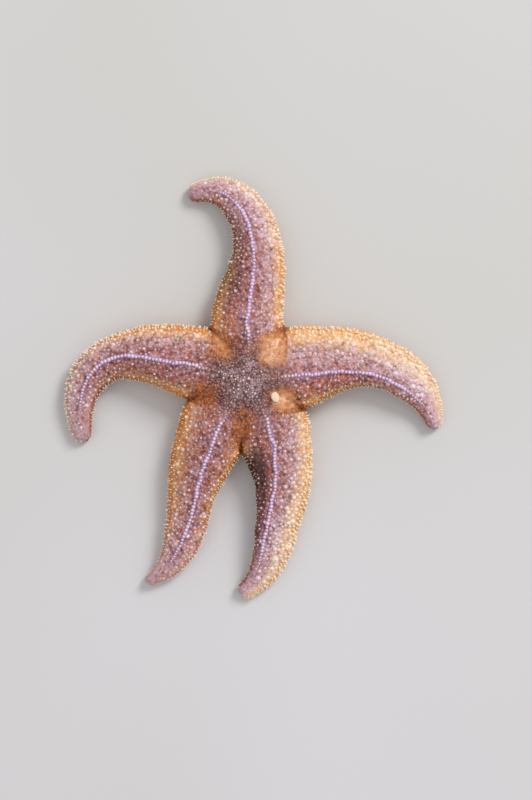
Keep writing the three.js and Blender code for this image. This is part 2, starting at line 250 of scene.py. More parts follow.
class Arm:
    """Middle line, width, height and lean of one arm, in millimetres."""

    def __init__(self, name, sizes, shape):
        self.name = name
        self.length = sizes.length / MM
        self.headings = tuple(sizes.headings)
        self.leans = tuple(sizes.ridge_leans)
        self.dark_side, self.gloom, self.glow = (ARMS[name][key] for key in ("dark_side", "gloom", "glow"))
        stations = sizes.half_widths, shape.arm_heights, shape.groove_half_widths, shape.groove_depths
        self.half_widths, self.heights, self.groove_widths, self.groove_depths = (
            np.array(values) / MM for values in stations)
        self.inset = shape.coat_depth / MM
        self.tip_radius = self.half_widths[-1] - self.inset * SPINE_SMALLEST
        self.end = self.length + self.tip_radius
        stride = self.length / STRIDES
        strides = self.forward((np.arange(STRIDES) + 0.5) * stride) * stride
        self.knots = np.vstack(([[0, 0]], np.cumsum(strides, axis=0)))

    def at(self, stations, distance):
        return along(stations, distance / self.length)

    def forward(self, distance):
        heading = self.at(self.headings, distance)
        return np.stack((np.cos(heading), np.sin(heading)), axis=-1)

    def left(self, distance):
        ahead = self.forward(distance)
        return np.stack((-ahead[..., 1], ahead[..., 0]), axis=-1)

    def point(self, distance):
        inside = np.clip(distance, 0, self.length)
        marks = np.linspace(0, self.length, STRIDES + 1)
        x, y = (np.interp(inside, marks, self.knots[:, k]) for k in range(2))
        beyond = (distance - inside)[..., None]
        return np.stack((x, y), axis=-1) + beyond * self.forward(distance)

    def beside(self, distance, across):
        return self.point(distance) + across[..., None] * self.left(distance)

    def spine_scale(self, distance):
        return np.clip(self.at(self.half_widths, distance) / SPINE_FULL_WIDTH, SPINE_SMALLEST, 1)

    def wall(self, distance):
        """Half width, height of the widest line, height of the dome over it, and closing."""
        inset = self.inset * self.spine_scale(distance)
        past = np.clip((distance - self.length) / self.tip_radius, 0, 1)
        closing = np.sqrt(1 - past * past)
        height = self.at(self.heights, distance) - inset
        half_width = (self.at(self.half_widths, distance) - inset) * closing
        return half_width, WIDEST_AT * height, (1 - WIDEST_AT) * height * closing, closing

    def lean(self, distance):
        return self.at(self.leans, distance) * ease(0, LEANS_FROM, distance)

    def groove(self, distance):
        """Half width at the floor and depth of the groove."""
        room = GROOVE_LARGEST_SHARE * self.at(self.half_widths, distance)
        return np.minimum(self.at(self.groove_widths, distance), room), self.at(self.groove_depths, distance)

    def nearest(self, points):
        """Distance along the arm and signed place across it of points on the floor."""
        marks = np.arange(0, self.end, SAMPLING)
        line = self.point(marks)
        gaps = ((points[:, None, :] - line[None]) ** 2).sum(axis=2)
        found = gaps.argmin(axis=1)
        offset = points - line[found]
        distance = marks[found] + (offset * self.forward(marks[found])).sum(axis=1)
        across = (offset * self.left(marks[found])).sum(axis=1)
        behind = distance < 0
        reach = np.linalg.norm(points, axis=1) * np.where(across < 0, -1, 1)
        return np.clip(distance, 0, self.end), np.where(behind, reach, across)

    def turned(self, distance, across):
        """Place round the dome: 1 at the left edge, 0 on the ridge and -1 at the right edge."""
        half_width = np.maximum(self.wall(distance)[0], NARROWEST)
        share = across / half_width
        lean = self.lean(distance)
        inner = np.clip(share, -1, 1)
        return (inner - lean) / (1 - inner * lean) + share - inner

    def dome(self, distance, across):
        """Height of the arm's top, falling steeply outside its edges."""
        half_width, widest, dome, _ = self.wall(distance)
        turn = np.abs(self.turned(distance, across))
        rise = np.clip(1 - turn * turn, 0, 1) ** FULLNESS
        return widest + dome * rise - 2 * half_width * np.maximum(turn - 1, 0)

    def under(self, distance, across):
        """Height of the arm's underside without its groove."""
        half_width, widest, _, closing = self.wall(distance)
        share = np.abs(across) / np.maximum(half_width, NARROWEST)
        edge = np.clip((share - FLAT_REACH) / (1 - FLAT_REACH), 0, 1)
        level = np.sqrt(1 - edge * edge) * closing ** 0.6
        return widest - (widest - FLAT_HEIGHT) * level + 2 * half_width * np.maximum(share - 1, 0)

    def hollow(self, distance, across):
        """Height of the groove's roof over the floor."""
        half_width, depth = self.groove(distance)
        return depth * np.clip(1 - (across / half_width) ** 2, 0, 1) ** 0.8


def notch(arm, neighbour):
    """Outermost crossing of an arm's left edge with the right edge of the next arm."""
    marks = np.linspace(*NOTCH_SEARCH, 300)
    first = arm.beside(marks, arm.wall(marks)[0])
    second = neighbour.beside(marks, -neighbour.wall(marks)[0])
    a, b = first[:-1, None], second[None, :-1]
    along_a = first[1:, None] - a
    along_b = second[None, 1:] - b
    gap = b - a
    cross = along_a[..., 0] * along_b[..., 1] - along_a[..., 1] * along_b[..., 0]
    cross = np.where(np.abs(cross) < TINY, TINY, cross)
    f = (gap[..., 0] * along_b[..., 1] - gap[..., 1] * along_b[..., 0]) / cross
    g = (gap[..., 0] * along_a[..., 1] - gap[..., 1] * along_a[..., 0]) / cross
    hits = np.argwhere((f >= 0) & (f < 1) & (g >= 0) & (g < 1))
    if not len(hits):
        raise ValueError(f"the edges of {arm.name} and {neighbour.name} do not meet")
    i, j = max(hits, key=lambda hit: hit[0] + hit[1])
    step = marks[1] - marks[0]
    place = first[i] + f[i, j] * (first[i + 1] - first[i])
    return place, marks[i] + f[i, j] * step, marks[j] + g[i, j] * step


class Sheet:
    """Grid of body points over or under one arm: rows run outward, columns right to left."""

    def __init__(self, arm, over, distance, across, flat, height):
        self.arm, self.over = arm, over
        self.distance, self.across = distance, across
        self.flat, self.height = flat, height
        self.shape = height.shape
        self.number = self.uv = None

    def points(self):
        return np.concatenate((self.flat, self.height[..., None]), axis=-1)


# Marks that every point carries for the colours: share of the way along its arm; place round it,
# from 0 on the ridge over 1 on the edge to 2 in the groove; the flank, 1 at the edge of the darker
# flank, partly painted shade, and -1 at the paler, partly painted-light one; painted shade of the dark
# flank's middle; distance from the disc's middle; depth in the valleys between arms; paleness of the
# corners there; and links of the net of lime plates.
MARKS = ("along", "around", "side", "gloom", "centre", "crease", "glow", "net")


class Body:
    """The whole body wall: numbered points, normals, marks, sheets and their flat unwrap."""

    def __init__(self, arms, shape):
        self.arms = arms
        self.dome_radius = shape.disc_radius / MM
        self.dome_height = shape.disc_height / MM - shape.coat_depth / MM
        self.bowl_radius = shape.bowl_radius / MM
        self.bowl_depth = shape.bowl_depth / MM
        notches = [notch(arm, arms[(i + 1) % len(arms)]) for i, arm in enumerate(arms)]
        self.corners = np.array([place for place, _, _ in notches])
        self.tops = []
        self.unders = []
        for i, arm in enumerate(arms):
            right, left = notches[i - 1], notches[i]
            self.tops.append(self.sheet(arm, right, left, True))
            self.unders.append(self.sheet(arm, right, left, False))
            self.join_edges(self.tops[-1], self.unders[-1])
        for sheets in (self.tops, self.unders):
            self.join_neighbours(sheets)
        self.weld()
        self.unwrap()

    def shares(self, arm, distance, over):
        """Places of the columns as shares of the half width, right edge to left edge."""
        if over:
            turn = -np.cos(np.pi * np.arange(TOP_COLUMNS + 1) / TOP_COLUMNS)
            lean = arm.lean(distance)[..., None]
            return (turn + lean) / (1 + turn * lean)
        groove = arm.groove(distance)[0] / np.maximum(arm.at(arm.half_widths, distance), 1)
        quarter = UNDER_COLUMNS // 8
        lift = FLAT_REACH + (1 - FLAT_REACH) * np.sin(np.pi / 2 * np.arange(1, quarter + 2) / (quarter + 1))
        inner = np.linspace(0, 1, 2 * quarter)
        flats = np.linspace(0, 1, UNDER_COLUMNS // 2 - 3 * quarter + 1)[1:]
        rim = np.minimum(groove * 1.05, FLAT_REACH - 0.05)[..., None]
        rest = rim + (FLAT_REACH - rim) * flats
        lifts = np.broadcast_to(lift, rest.shape[:-1] + lift.shape)
        half = np.concatenate((rim * inner, rest, lifts), axis=-1)
        return np.concatenate((-half[..., :0:-1], half), axis=-1)

    def sheet(self, arm, right, left, over):
        start = (right[2] + left[1]) / 2
        turns = self.shares(arm, np.array(start), over)
        line_at = right[2] + (left[1] - right[2]) * (1 + turns) / 2
        share = np.stack([self.shares(arm, line_at, over)[k, k] for k in range(len(turns))])
        line = arm.beside(line_at, share * arm.wall(line_at)[0])
        line[0], line[-1] = right[0], left[0]
        disc = np.linspace(0, 1, DISC_ROWS + 1)[:, None, None] * line
        out = np.linspace(0, 1, ARM_ROWS + 1)[1:, None]
        out_at = line_at + (arm.length - line_at) * out
        nose = np.linspace(0, np.pi / 2, NOSE_ROWS + 1)[1:, None]
        nose_at = arm.length + arm.tip_radius * np.sin(nose) * np.ones_like(line_at)
        free_at = np.concatenate((out_at, nose_at))
        free_share = np.stack([self.shares(arm, column, over)[:, k] for k, column in enumerate(free_at.T)], 1)
        free_across = free_share * arm.wall(free_at)[0]
        flat = np.concatenate((disc, arm.beside(free_at, free_across)))
        disc_at, disc_across = arm.nearest(disc.reshape(-1, 2))
        distance = np.concatenate((disc_at.reshape(disc.shape[:2]), free_at))
        across = np.concatenate((disc_across.reshape(disc.shape[:2]), free_across))
        height = self.height(arm, flat.reshape(-1, 2), distance.ravel(), across.ravel(), over)
        height = height.reshape(distance.shape)
        return Sheet(arm, over, distance, across, flat, height)

    def height(self, own, flat, distance, across, over):
        """Height of the top or the underside over points on the floor."""
        inner = np.linalg.norm(flat, axis=1)
        levels = []
        hollows = []
        for arm in self.arms:
            at, aside = (distance, across) if arm is own else arm.nearest(flat)
            levels.append(arm.dome(at, aside) if over else arm.under(at, aside))
            hollows.append(arm.hollow(at, aside))
        if over:
            hub = np.clip(1 - (inner / self.dome_radius) ** 2, 0, 1)
            levels.append(self.dome_height * np.sqrt(hub))
            soft = ARM_MELT + DISC_MELT * (1 - ease(*MELT_SPAN, inner))
            return soft_pick(np.array(levels), 1 / soft)
        low = soft_pick(np.array(levels), UNDER_SHARPNESS)
        bowl = self.bowl_depth * np.clip(1 - (inner / self.bowl_radius) ** 2, 0, 1) ** 0.6
        return np.maximum(low, FLAT_HEIGHT) + soft_pick(np.array([*hollows, bowl]), HOLLOW_SHARPNESS)

    def join_edges(self, top, under):
        """Give both sheets one edge, and each notch the height of its widest line."""
        for column in (0, -1):
            widest = self.arms[0].wall(top.distance[DISC_ROWS, column])[1]
            top.height[DISC_ROWS, column] = widest
            top.height[DISC_ROWS + 1:, column] = top.arm.wall(top.distance[DISC_ROWS + 1:, column])[1]
            under.height[DISC_ROWS:, column] = top.height[DISC_ROWS:, column]
            under.flat[DISC_ROWS:, column] = top.flat[DISC_ROWS:, column]
        top.height[-1] = under.height[-1] = top.height[-1, 0]

    def join_neighbours(self, sheets):
        """Give neighbouring sheets of the disc one edge, and all of them one middle."""
        for right, left in zip(sheets, (*sheets[1:], sheets[0])):
            left.flat[:DISC_ROWS + 1, 0] = right.flat[:DISC_ROWS + 1, -1]
            left.height[:DISC_ROWS + 1, 0] = right.height[:DISC_ROWS + 1, -1]
        for sheet in sheets:
            sheet.height[0] = sheets[0].height[0, 0]

    def weld(self):
        """Number the points, one number for each place, and work out faces and normals."""
        sheets = [*self.tops, *self.unders]
        places = np.concatenate([sheet.points().reshape(-1, 3) for sheet in sheets])
        _, first, number = np.unique(np.round(places, 5), axis=0, return_index=True, return_inverse=True)
        number = number.ravel()
        self.points = places[first]
        start = 0
        for sheet in sheets:
            count = sheet.height.size
            sheet.number = number[start:start + count].reshape(sheet.shape)
            start += count
        self.marks = self.read_marks(sheets)
        self.normals = self.read_normals()
        self.points = self.points + self.relief()[:, None] * self.normals
        self.normals = self.read_normals()

    def read_marks(self, sheets):
        marks = {name: np.zeros(len(self.points)) for name in MARKS}
        inner = np.linalg.norm(self.points[:, :2], axis=1)
        for sheet in sheets:
            arm = sheet.arm
            turn = np.clip(arm.turned(sheet.distance, sheet.across), -1, 1)
            width = np.maximum(arm.wall(sheet.distance)[0], NARROWEST)
            share = np.clip(np.abs(sheet.across) / width, 0, 1)
            t = sheet.distance / arm.end
            # Painted shade: the darker flank is partly the skin's own colour and partly shade painted on the
            # side that faces away from the light, deepest in the flank's middle.
            dark = turn * np.sign(arm.dark_side)
            flank = ease(0.08, 0.45, dark) * ease(0.2, 0.38, t) * ease(0.92, 0.72, t)
            marks["along"][sheet.number] = t
            marks["around"][sheet.number] = np.abs(turn) if sheet.over else 2 - share
            marks["side"][sheet.number] = turn * arm.dark_side
            marks["gloom"][sheet.number] = arm.gloom * flank
        marks["centre"] = inner
        marks["crease"], marks["glow"] = self.creases(inner)
        return marks

    def creases(self, inner):
        """Depth in the valleys between arms, 0 to 1, and how pale the skin is in their corners."""
        flat = self.points[:, :2]
        ordered = np.sort(np.array([arm.dome(*arm.nearest(flat)) for arm in self.arms]), axis=0)
        gap = ordered[-1] - ordered[-2]
        nearest = np.argmin(np.linalg.norm(flat[:, None] - self.corners[None], axis=2), axis=1)
        paleness = np.array([arm.glow for arm in self.arms])[nearest]
        crease, glow = (
            np.exp(-gap / fade) * ease(*begin, inner) * ease(*end, inner)
            for fade, begin, end in (CREASE, GLOW))
        return crease, glow * paleness

    def faces(self):
        """Corner numbers and corner places on the unwrap, four to a face."""
        corners = []
        spots = []
        for sheet in (*self.tops, *self.unders):
            step = ((0, 0), (1, 0), (1, 1), (0, 1)) if sheet.over else ((0, 0), (0, 1), (1, 1), (1, 0))
            rows, columns = sheet.shape
            cut = [(slice(i, rows - 1 + i), slice(j, columns - 1 + j)) for i, j in step]
            corners.append(np.stack([sheet.number[c] for c in cut], axis=-1).reshape(-1, 4))
            if sheet.uv is not None:
                spots.append(self.corner_places(sheet, cut))
        return np.concatenate(corners), np.concatenate(spots) if spots else None

    def corner_places(self, sheet, cut):
        """Unwrap places of a sheet's faces. The underside is cut open along its middle."""
        if sheet.over:
            return np.stack([sheet.uv[0][c] for c in cut], axis=2).reshape(-1, 4, 2)
        middle = sheet.shape[1] // 2
        halves = [np.stack([half[c] for c in cut], axis=2) for half in sheet.uv]
        return np.concatenate((halves[0][:, :middle], halves[1][:, middle:]), axis=1).reshape(-1, 4, 2)

    def read_normals(self):
        corners, _ = self.faces()
        a, b, c, d = (self.points[corners[:, k]] for k in range(4))
        face = np.cross(c - a, d - b)
        normals = np.zeros_like(self.points)
        for k in range(4):
            np.add.at(normals, corners[:, k], face)
        return unit(normals)

    def relief(self):
        """How far each point stands proud of the plain form."""
        marks = self.marks
        upper = 1 - ease(1, 1.2, marks["around"])
        slender = 1 - 0.5 * ease(0.6, 1, marks["along"])
        swell = sum(height * waves(self.points, width, SEEDS[name]) for name, height, width in SWELLS)
        cord = CORD_HEIGHT * np.exp(-(marks["around"] / 0.06) ** 2)
        cord -= CORD_SINK * np.exp(-((marks["around"] - 0.2) / 0.12) ** 2)
        outside = ease(8, 18, marks["centre"]) * ease(0.95, 0.8, marks["along"])
        return upper * slender * (swell + cord * outside)

    def unwrap(self):
        """Lay each arm out flat at its real size, cut along the middle of its groove."""

        def girths(sheet):
            """Way round from the right edge to each point of each row."""
            steps = np.linalg.norm(np.diff(self.points[sheet.number], axis=1), axis=2)
            return np.concatenate((np.zeros((len(steps), 1)), np.cumsum(steps, axis=1)), axis=1)

        islands = []
        for top, under in zip(self.tops, self.unders):
            middle = top.shape[1] // 2
            steps = np.linalg.norm(np.diff(self.points[top.number][:, middle], axis=0), axis=1)
            out = np.concatenate(([0], np.cumsum(steps)))
            round_top = girths(top)
            round_top -= round_top[:, middle:middle + 1]
            round_under = girths(under)
            held = np.maximum(np.arange(len(out)), DISC_ROWS)
            right = round_top[held, 0][:, None] - round_under
            left = round_top[held, -1][:, None] + (round_under[:, -1:] - round_under)
            islands.append((out, round_top, right, left))
        half = UNDER_COLUMNS // 2
        spans = [(island[2][:, half].min(), island[3][:, half].max()) for island in islands]
        row_height = max(high - low for low, high in spans) + ISLAND_MARGIN
        length = max(island[0][-1] for island in islands) + ISLAND_MARGIN
        size = max(2 * length, 3 * row_height) + ISLAND_MARGIN
        for place, (out, over, right, left) in enumerate(islands):
            column, row = divmod(place, 3)
            x = ISLAND_MARGIN + column * length + out[:, None]
            base = ISLAND_MARGIN + row * row_height - spans[place][0]
            layers = [
                np.stack((x + 0 * rounds, base + rounds), axis=-1) / size for rounds in (over, right, left)]
            self.tops[place].uv = layers[:1]
            self.unders[place].uv = layers[1:]


def soft_pick(levels, sharpness):
    """Largest of several heights, or smallest for a negative sharpness, with rounded steps."""
    lead = (levels * sharpness).max(axis=0)
    weights = np.exp(levels * sharpness - lead)
    return (levels * weights).sum(axis=0) / weights.sum(axis=0)


def body_of(context):
    """The body for the sizes in the panel, worked out once for each set of sizes."""
    settings = context.scene.starfish
    groups = [getattr(settings, name) for name in (*ARMS, "shape")]
    values = (getattr(group, key) for group in groups for key in group.__annotations__)
    return built_body(tuple(tuple(np.ravel(value)) for value in values))


@functools.cache
def built_body(numbers):
    settings = bpy.context.scene.starfish
    arms = [Arm(name, getattr(settings, name), settings.shape) for name in ARMS]
    return Body(arms, settings.shape)


def disc_middle():
    """Middle of the disc in the frame, in millimetres: the mouth sits right under it."""
    low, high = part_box("mouth")
    return np.array([(low[0] + high[0]) / 2 / MM, (low[1] + high[1]) / 2 / MM, 0])


# ---- meshes -----------------------------------------------------------------------------

def mesh_object(name, points, faces, marks=None, corner_uv=None):
    """Mesh object from points in millimetres round the disc's middle."""
    mesh = bpy.data.meshes.new(name)
    mesh.from_pydata(((points + disc_middle()) * MM).tolist(), [], faces)
    mesh.shade_smooth()
    for key, values in (marks or {}).items():
        mesh.attributes.new(key, "FLOAT", "POINT").data.foreach_set("value", np.asarray(values, "f"))
    if corner_uv is not None:
        mesh.uv_layers.new(name="OFBake").data.foreach_set("uv", corner_uv.astype("f").ravel())
    thing = bpy.data.objects.new(name, mesh)
    bpy.context.collection.objects.link(thing)
    return thing


def finish_piece(thing, replaced, material=None):
    """Put a piece on the body, give it its finish if one is given, and hide the nodes it replaces."""
    if material is not None:
        thing.data.materials.clear()
        thing.data.materials.append(material)
    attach(thing, BODY)
    if replaced:
        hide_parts(*replaced)


# Forms of the coat: sides, depth of the root under the skin in millimetres, the rings from foot to
# tip as shares of the form's radius and length, how lumpy they are and which of them are lumpy.
FORMS = {
    "back_spine": (
        9, 0.25, ((1.3, 0), (1.18, 0.05), (1.02, 0.2), (0.72, 0.34), (0.4, 0.43), (0.29, 0.8), (0, 1)),
        0.09, (1, 2, 3)),
    "ridge_spine": (
        9, 0.25, ((1.12, 0), (1.12, 0.08), (1.04, 0.28), (0.78, 0.46), (0.46, 0.55), (0.33, 0.86), (0, 0.98)),
        0.08, (1, 2, 3)),
    "edge_spine": (
        8, 0.25, ((0.38, 0), (0.36, 0.08), (0.26, 0.28), (0.17, 0.42), (0.14, 0.75), (0.08, 0.96), (0, 1)),
        0.08, (1, 2)),
    "gill": (6, 0.1, ((1.1, 0), (0.95, 0.4), (0.55, 0.86), (0, 1)), 0, ()),
    "tube_foot": (
        9, 0.12,
        ((1, 0), (0.95, 0.1), (0.74, 0.5), (0.7, 0.82), (1.15, 0.9), (1.25, 0.96), (0.85, 1), (0, 0.95)),
        0, ()),
    "groove_spine": (7, 0.2, ((0.2, 0), (0.2, 0.2), (0.17, 0.75), (0.1, 0.95), (0, 1)), 0, ()),
}


def turned_form(name, radius=1.0, length=1.0):
    """Round closed form of the coat, one millimetre to a unit.

    Its rise runs from 0 at the foot to 1 at the tip, and its patch is a tiny flat unwrap.
    """
    sides, root, profile, lumps, lumpy_rings = FORMS[name]
    rings = len(profile) - 1
    turn = 2 * math.pi * np.arange(sides) / sides
    circle = np.stack((np.cos(turn), np.sin(turn)), axis=1)
    points = np.zeros((rings * sides + 1, 3))
    rise = np.ones(len(points))
    spread = np.zeros((len(points), 2))
    for ring, (width, height) in enumerate(profile[:-1]):
        own = slice(ring * sides, (ring + 1) * sides)
        uneven = np.cos(2 * turn + ring) + 0.7 * np.cos(3 * turn + 2 * ring)
        swell = 1 + lumps * uneven * (ring in lumpy_rings)
        points[own, :2] = (width * radius * swell)[:, None] * circle
        points[own, 2] = height * length if ring else -root
        rise[own] = ring / rings
        spread[own] = (1 - ring / rings) * circle
    points[-1, 2] = profile[-1][1] * length
    faces = [tuple(range(sides - 1, -1, -1))]
    for ring in range(rings - 1):
        for k in range(sides):
            a, b = ring * sides + k, ring * sides + (k + 1) % sides
            faces.append((a, b, b + sides, a + sides))
    top = (rings - 1) * sides
    faces += [(top + k, top + (k + 1) % sides, rings * sides) for k in range(sides)]
    mesh = bpy.data.meshes.new(f"{name}_form")
    mesh.from_pydata((points * MM).tolist(), [], faces)
    mesh.attributes.new("rise", "FLOAT", "POINT").data.foreach_set("value", rise.astype("f"))
    patch = mesh.uv_layers.new(name="patch")
    for loop in mesh.loops:
        patch.data[loop.index].uv = spread[loop.vertex_index] * PATCH / 2
    form = bpy.data.objects.new(mesh.name, mesh)
    bpy.context.collection.objects.link(form)
    return form


def drop_forms(*forms):
    """Remove forms once the coat that repeats them is made."""
    for form in forms:
        mesh = form.data
        bpy.data.objects.remove(form)
        bpy.data.meshes.remove(mesh)


def coat_tree():
    """Stand a form on every point, at its direction, size and a random spin, as one mesh."""
    tree = bpy.data.node_groups.new("starfish_coat", "GeometryNodeTree")
    sockets = {
        "Geometry": "Geometry", "Form": "Object", "Finish": "Material", "Unevenness": "Float", "Seed": "Int"}
    for name, kind in sockets.items():
        tree.interface.new_socket(name=name, in_out="INPUT", socket_type=f"NodeSocket{kind}")
    tree.interface.new_socket(name="Geometry", in_out="OUTPUT", socket_type="NodeSocketGeometry")
    given = add(tree, "NodeGroupInput").outputs
    kinds = {"girth": "FLOAT", "reach": "FLOAT"}
    kinds.update(dict.fromkeys(("direction", "root_uv", "patch"), "FLOAT_VECTOR"))
    read = {
        name: add(tree, "GeometryNodeInputNamedAttribute", {"Name": name}, data_type=kind)
        for name, kind in kinds.items()
    }
    low = add(tree, "ShaderNodeMath", {0: 1.0, 1: given["Unevenness"]}, operation="SUBTRACT")
    high = add(tree, "ShaderNodeMath", {0: 1.0, 1: given["Unevenness"]}, operation="ADD")
    seeds = [add(tree, "ShaderNodeMath", {0: given["Seed"], 1: float(k)}, operation="ADD") for k in range(3)]
    spans = ((low, high, 0), (low, high, 1), (0.0, 2 * math.pi, 2), (0.0, 1.0, 1))
    girth_change, reach_change, spin, tone = (
        add(tree, "FunctionNodeRandomValue", {2: least, 3: most, "Seed": seeds[k]})
        for least, most, k in spans)
    girth = add(tree, "ShaderNodeMath", {0: read["girth"], 1: girth_change}, operation="MULTIPLY")
    reach = add(tree, "ShaderNodeMath", {0: read["reach"], 1: reach_change}, operation="MULTIPLY")
    scale = add(tree, "ShaderNodeCombineXYZ", {"X": girth, "Y": girth, "Z": reach})
    lean = add(tree, "FunctionNodeAlignRotationToVector", {"Vector": read["direction"]}, axis="Z")
    roll = add(tree, "FunctionNodeAxisAngleToRotation", {"Axis": (0, 0, 1), "Angle": spin})
    turned = add(tree, "FunctionNodeRotateRotation", {"Rotation": lean, "Rotate By": roll},
                 rotation_space="LOCAL")
    form = add(tree, "GeometryNodeObjectInfo", {"Object": given["Form"]}).outputs["Geometry"]
    stood = add(tree, "GeometryNodeInstanceOnPoints", {
        "Points": given["Geometry"], "Instance": form, "Rotation": turned, "Scale": scale})
    stored = {"Geometry": stood, "Name": "tone", "Value": tone}
    toned = add(tree, "GeometryNodeStoreNamedAttribute", stored, data_type="FLOAT", domain="INSTANCE")
    real = add(tree, "GeometryNodeRealizeInstances", {"Geometry": toned})
    place = add(tree, "ShaderNodeVectorMath", {0: read["root_uv"], 1: read["patch"]}, operation="ADD")
    stored = {"Geometry": real, "Name": "OFBake", "Value": place}
    mapped = add(tree, "GeometryNodeStoreNamedAttribute", stored, data_type="FLOAT2", domain="CORNER")
    for name in kinds:
        mapped = add(tree, "GeometryNodeRemoveAttribute", {"Geometry": mapped, "Name": name})
    smooth = add(tree, "GeometryNodeSetShadeSmooth", {"Geometry": mapped})
    coat = add(tree, "GeometryNodeSetMaterial", {"Geometry": smooth, "Material": given["Finish"]})
    add(tree, "NodeGroupOutput", {"Geometry": coat})
    return tree


def coat_piece(kind, spots, form, finish, arm=None, number=0):
    """One joined mesh with a form on each spot, for the disc or for an arm with its number."""
    name = f"{kind}_{arm.name}" if arm else kind
    slot, seed, unevenness = COAT_PIECES[kind]
    if not len(spots["place"]):
        raise ValueError(f"{name} has no spots to stand on")
    thing = mesh_object(name, spots["place"], [], {key: spots[key] for key in (*MARKS, "girth", "reach")})
    mesh = thing.data
    roots = np.pad(spots["root_uv"], ((0, 0), (0, 1)))
    for key, vectors in (("direction", spots["direction"]), ("root_uv", roots)):
        attribute = mesh.attributes.new(key, "FLOAT_VECTOR", "POINT")
        attribute.data.foreach_set("vector", vectors.astype("f").ravel())
    tree = bpy.data.node_groups.get("starfish_coat") or coat_tree()
    modifier = thing.modifiers.new("coat", "NODES")
    modifier.node_group = tree
    values = {"Form": form, "Finish": finish, "Unevenness": unevenness, "Seed": seed + number}
    for item in tree.interface.items_tree:
        if item.in_out == "INPUT" and item.name in values:
            modifier[item.identifier] = values[item.name]
    graph = bpy.context.evaluated_depsgraph_get()
    solid = bpy.data.meshes.new_from_object(
        thing.evaluated_get(graph), preserve_all_data_layers=True, depsgraph=graph)
    thing.modifiers.clear()
    thing.data = solid
    solid.name = name
    bpy.data.meshes.remove(mesh)
    finish_piece(thing, ())


# ---- places for the coat ----------------------------------------------------------------

def spots_at(body, sheet, rows, columns):
    """Place, normal, marks and unwrap place at fractional rows and columns of a sheet."""
    rows = np.clip(rows, 0, sheet.shape[0] - 1.001)
    columns = np.clip(columns, 0, sheet.shape[1] - 1.001)
    i, j = rows.astype(int), columns.astype(int)
    f, g = rows - i, columns - j
    weights = (1 - f) * (1 - g), f * (1 - g), f * g, (1 - f) * g
    corners = [(i, j), (i + 1, j), (i + 1, j + 1), (i, j + 1)]

    def mixed(values):
        return sum(w[:, None] * values[c].reshape(len(w), -1) for w, c in zip(weights, corners))

    number = sheet.number
    uv = sheet.uv[0]
    if not sheet.over:
        on_the_right = np.arange(sheet.shape[1]) < sheet.shape[1] // 2
        uv = np.where(on_the_right[None, :, None], *sheet.uv)
    spots = {key: mixed(values[number]) for key, values in (("place", body.points), ("normal", body.normals))}
    spots["root_uv"] = mixed(uv)
    spots["distance"] = mixed(sheet.distance)[:, 0]
    spots.update({name: mixed(body.marks[name][number])[:, 0] for name in MARKS})
    spots["direction"] = spots["normal"]
    scale = sheet.arm.spine_scale(spots["distance"])
    spots.update({key: scale.copy() for key in ("scale", "girth", "reach")})
    return spots


def merged(groups):
    return {key: np.concatenate([group[key] for group in groups]) for key in groups[0]}


def picked(spots, which):
    return {key: values[which] for key, values in spots.items()}


def lane(body, sheet, columns, pitch, start, stop, shift=0.0, sway=None):
    """Spots at an even pitch on the surface along a line of columns, closer on slender parts.

    Sway is a random generator that moves each a little off its place.
    """
    rows = np.arange(sheet.shape[0], dtype=float)
    columns = np.broadcast_to(np.asarray(columns, float), rows.shape)
    line = spots_at(body, sheet, rows, columns)
    gaps = np.linalg.norm(np.diff(line["place"], axis=0), axis=1)
    count = np.concatenate(([0], np.cumsum(gaps / (pitch * line["scale"][1:]))))
    first = np.interp(start, line["distance"], count) + shift
    last = np.interp(stop, line["distance"], count)
    found = np.interp(np.arange(first, last), count, rows)
    places = np.interp(found, rows, columns)
    if sway is not None:
        found = found + sway.normal(0, LANE_SWAY[0], len(found))
        places = places + sway.normal(0, LANE_SWAY[1], len(places))
    return spots_at(body, sheet, found, places)


def columns_at(sheet, across):
    """Fractional column of each row where the sheet is so many millimetres from its middle."""
    numbers = np.arange(sheet.shape[1])
    return np.array([np.interp(aim, row, numbers) for aim, row in zip(across, sheet.across)])


def column_at(turn):
    """Fractional column of a top sheet at a place round the dome, from -1 to 1."""
    return TOP_COLUMNS * np.arccos(-np.clip(turn, -1, 1)) / np.pi


def thinned(spots, spacing, taken, clearance):
    """Random spots no closer to each other than their spacing, or than clearance to taken ones."""
    cell = float(max(spacing.max(), clearance))
    grid = {}
    for x, y, z in taken:
        grid.setdefault((int(x // cell), int(y // cell)), []).append((x, y, z, True))
    kept = []
    close = clearance * clearance
    for number, ((x, y, z), own) in enumerate(zip(spots["place"].tolist(), (spacing ** 2).tolist())):
        i, j = int(x // cell), int(y // cell)
        near = (spot for a in (-1, 0, 1) for b in (-1, 0, 1) for spot in grid.get((i + a, j + b), ()))
        if not any((px - x) ** 2 + (py - y) ** 2 + (pz - z) ** 2 < (close if old else own)
                   for px, py, pz, old in near):
            grid.setdefault((i, j), []).append((x, y, z, False))
            kept.append(number)
    return picked(spots, np.array(kept))


def sprinkled(body, count, rng):
    """Random spots spread evenly over the area of the back."""
    areas = []
    for sheet in body.tops:
        points = body.points[sheet.number]
        one, other = points[1:, 1:] - points[:-1, :-1], points[1:, :-1] - points[:-1, 1:]
        areas.append(np.linalg.norm(np.cross(one, other), axis=2) / 2)
    total = sum(area.sum() for area in areas)
    groups = []
    for sheet, area in zip(body.tops, areas):
        share = int(count * area.sum() / total)
        cells = rng.choice(area.size, share, p=area.ravel() / area.sum())
        rows, columns = np.divmod(cells, area.shape[1])
        groups.append(spots_at(body, sheet, rows + rng.random(share), columns + rng.random(share)))
    spots = merged(groups)
    return picked(spots, rng.permutation(len(spots["place"])))


def plate_place():
    """Middle of the sieve plate on the floor, half its longer side and the height of its top."""
    low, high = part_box("sieve_plate")
    middle = np.array([(low[k] + high[k]) / 2 / MM for k in range(2)]) - disc_middle()[:2]
    return middle, max(high[0] - low[0], high[1] - low[1]) / 2 / MM, high[2] / MM


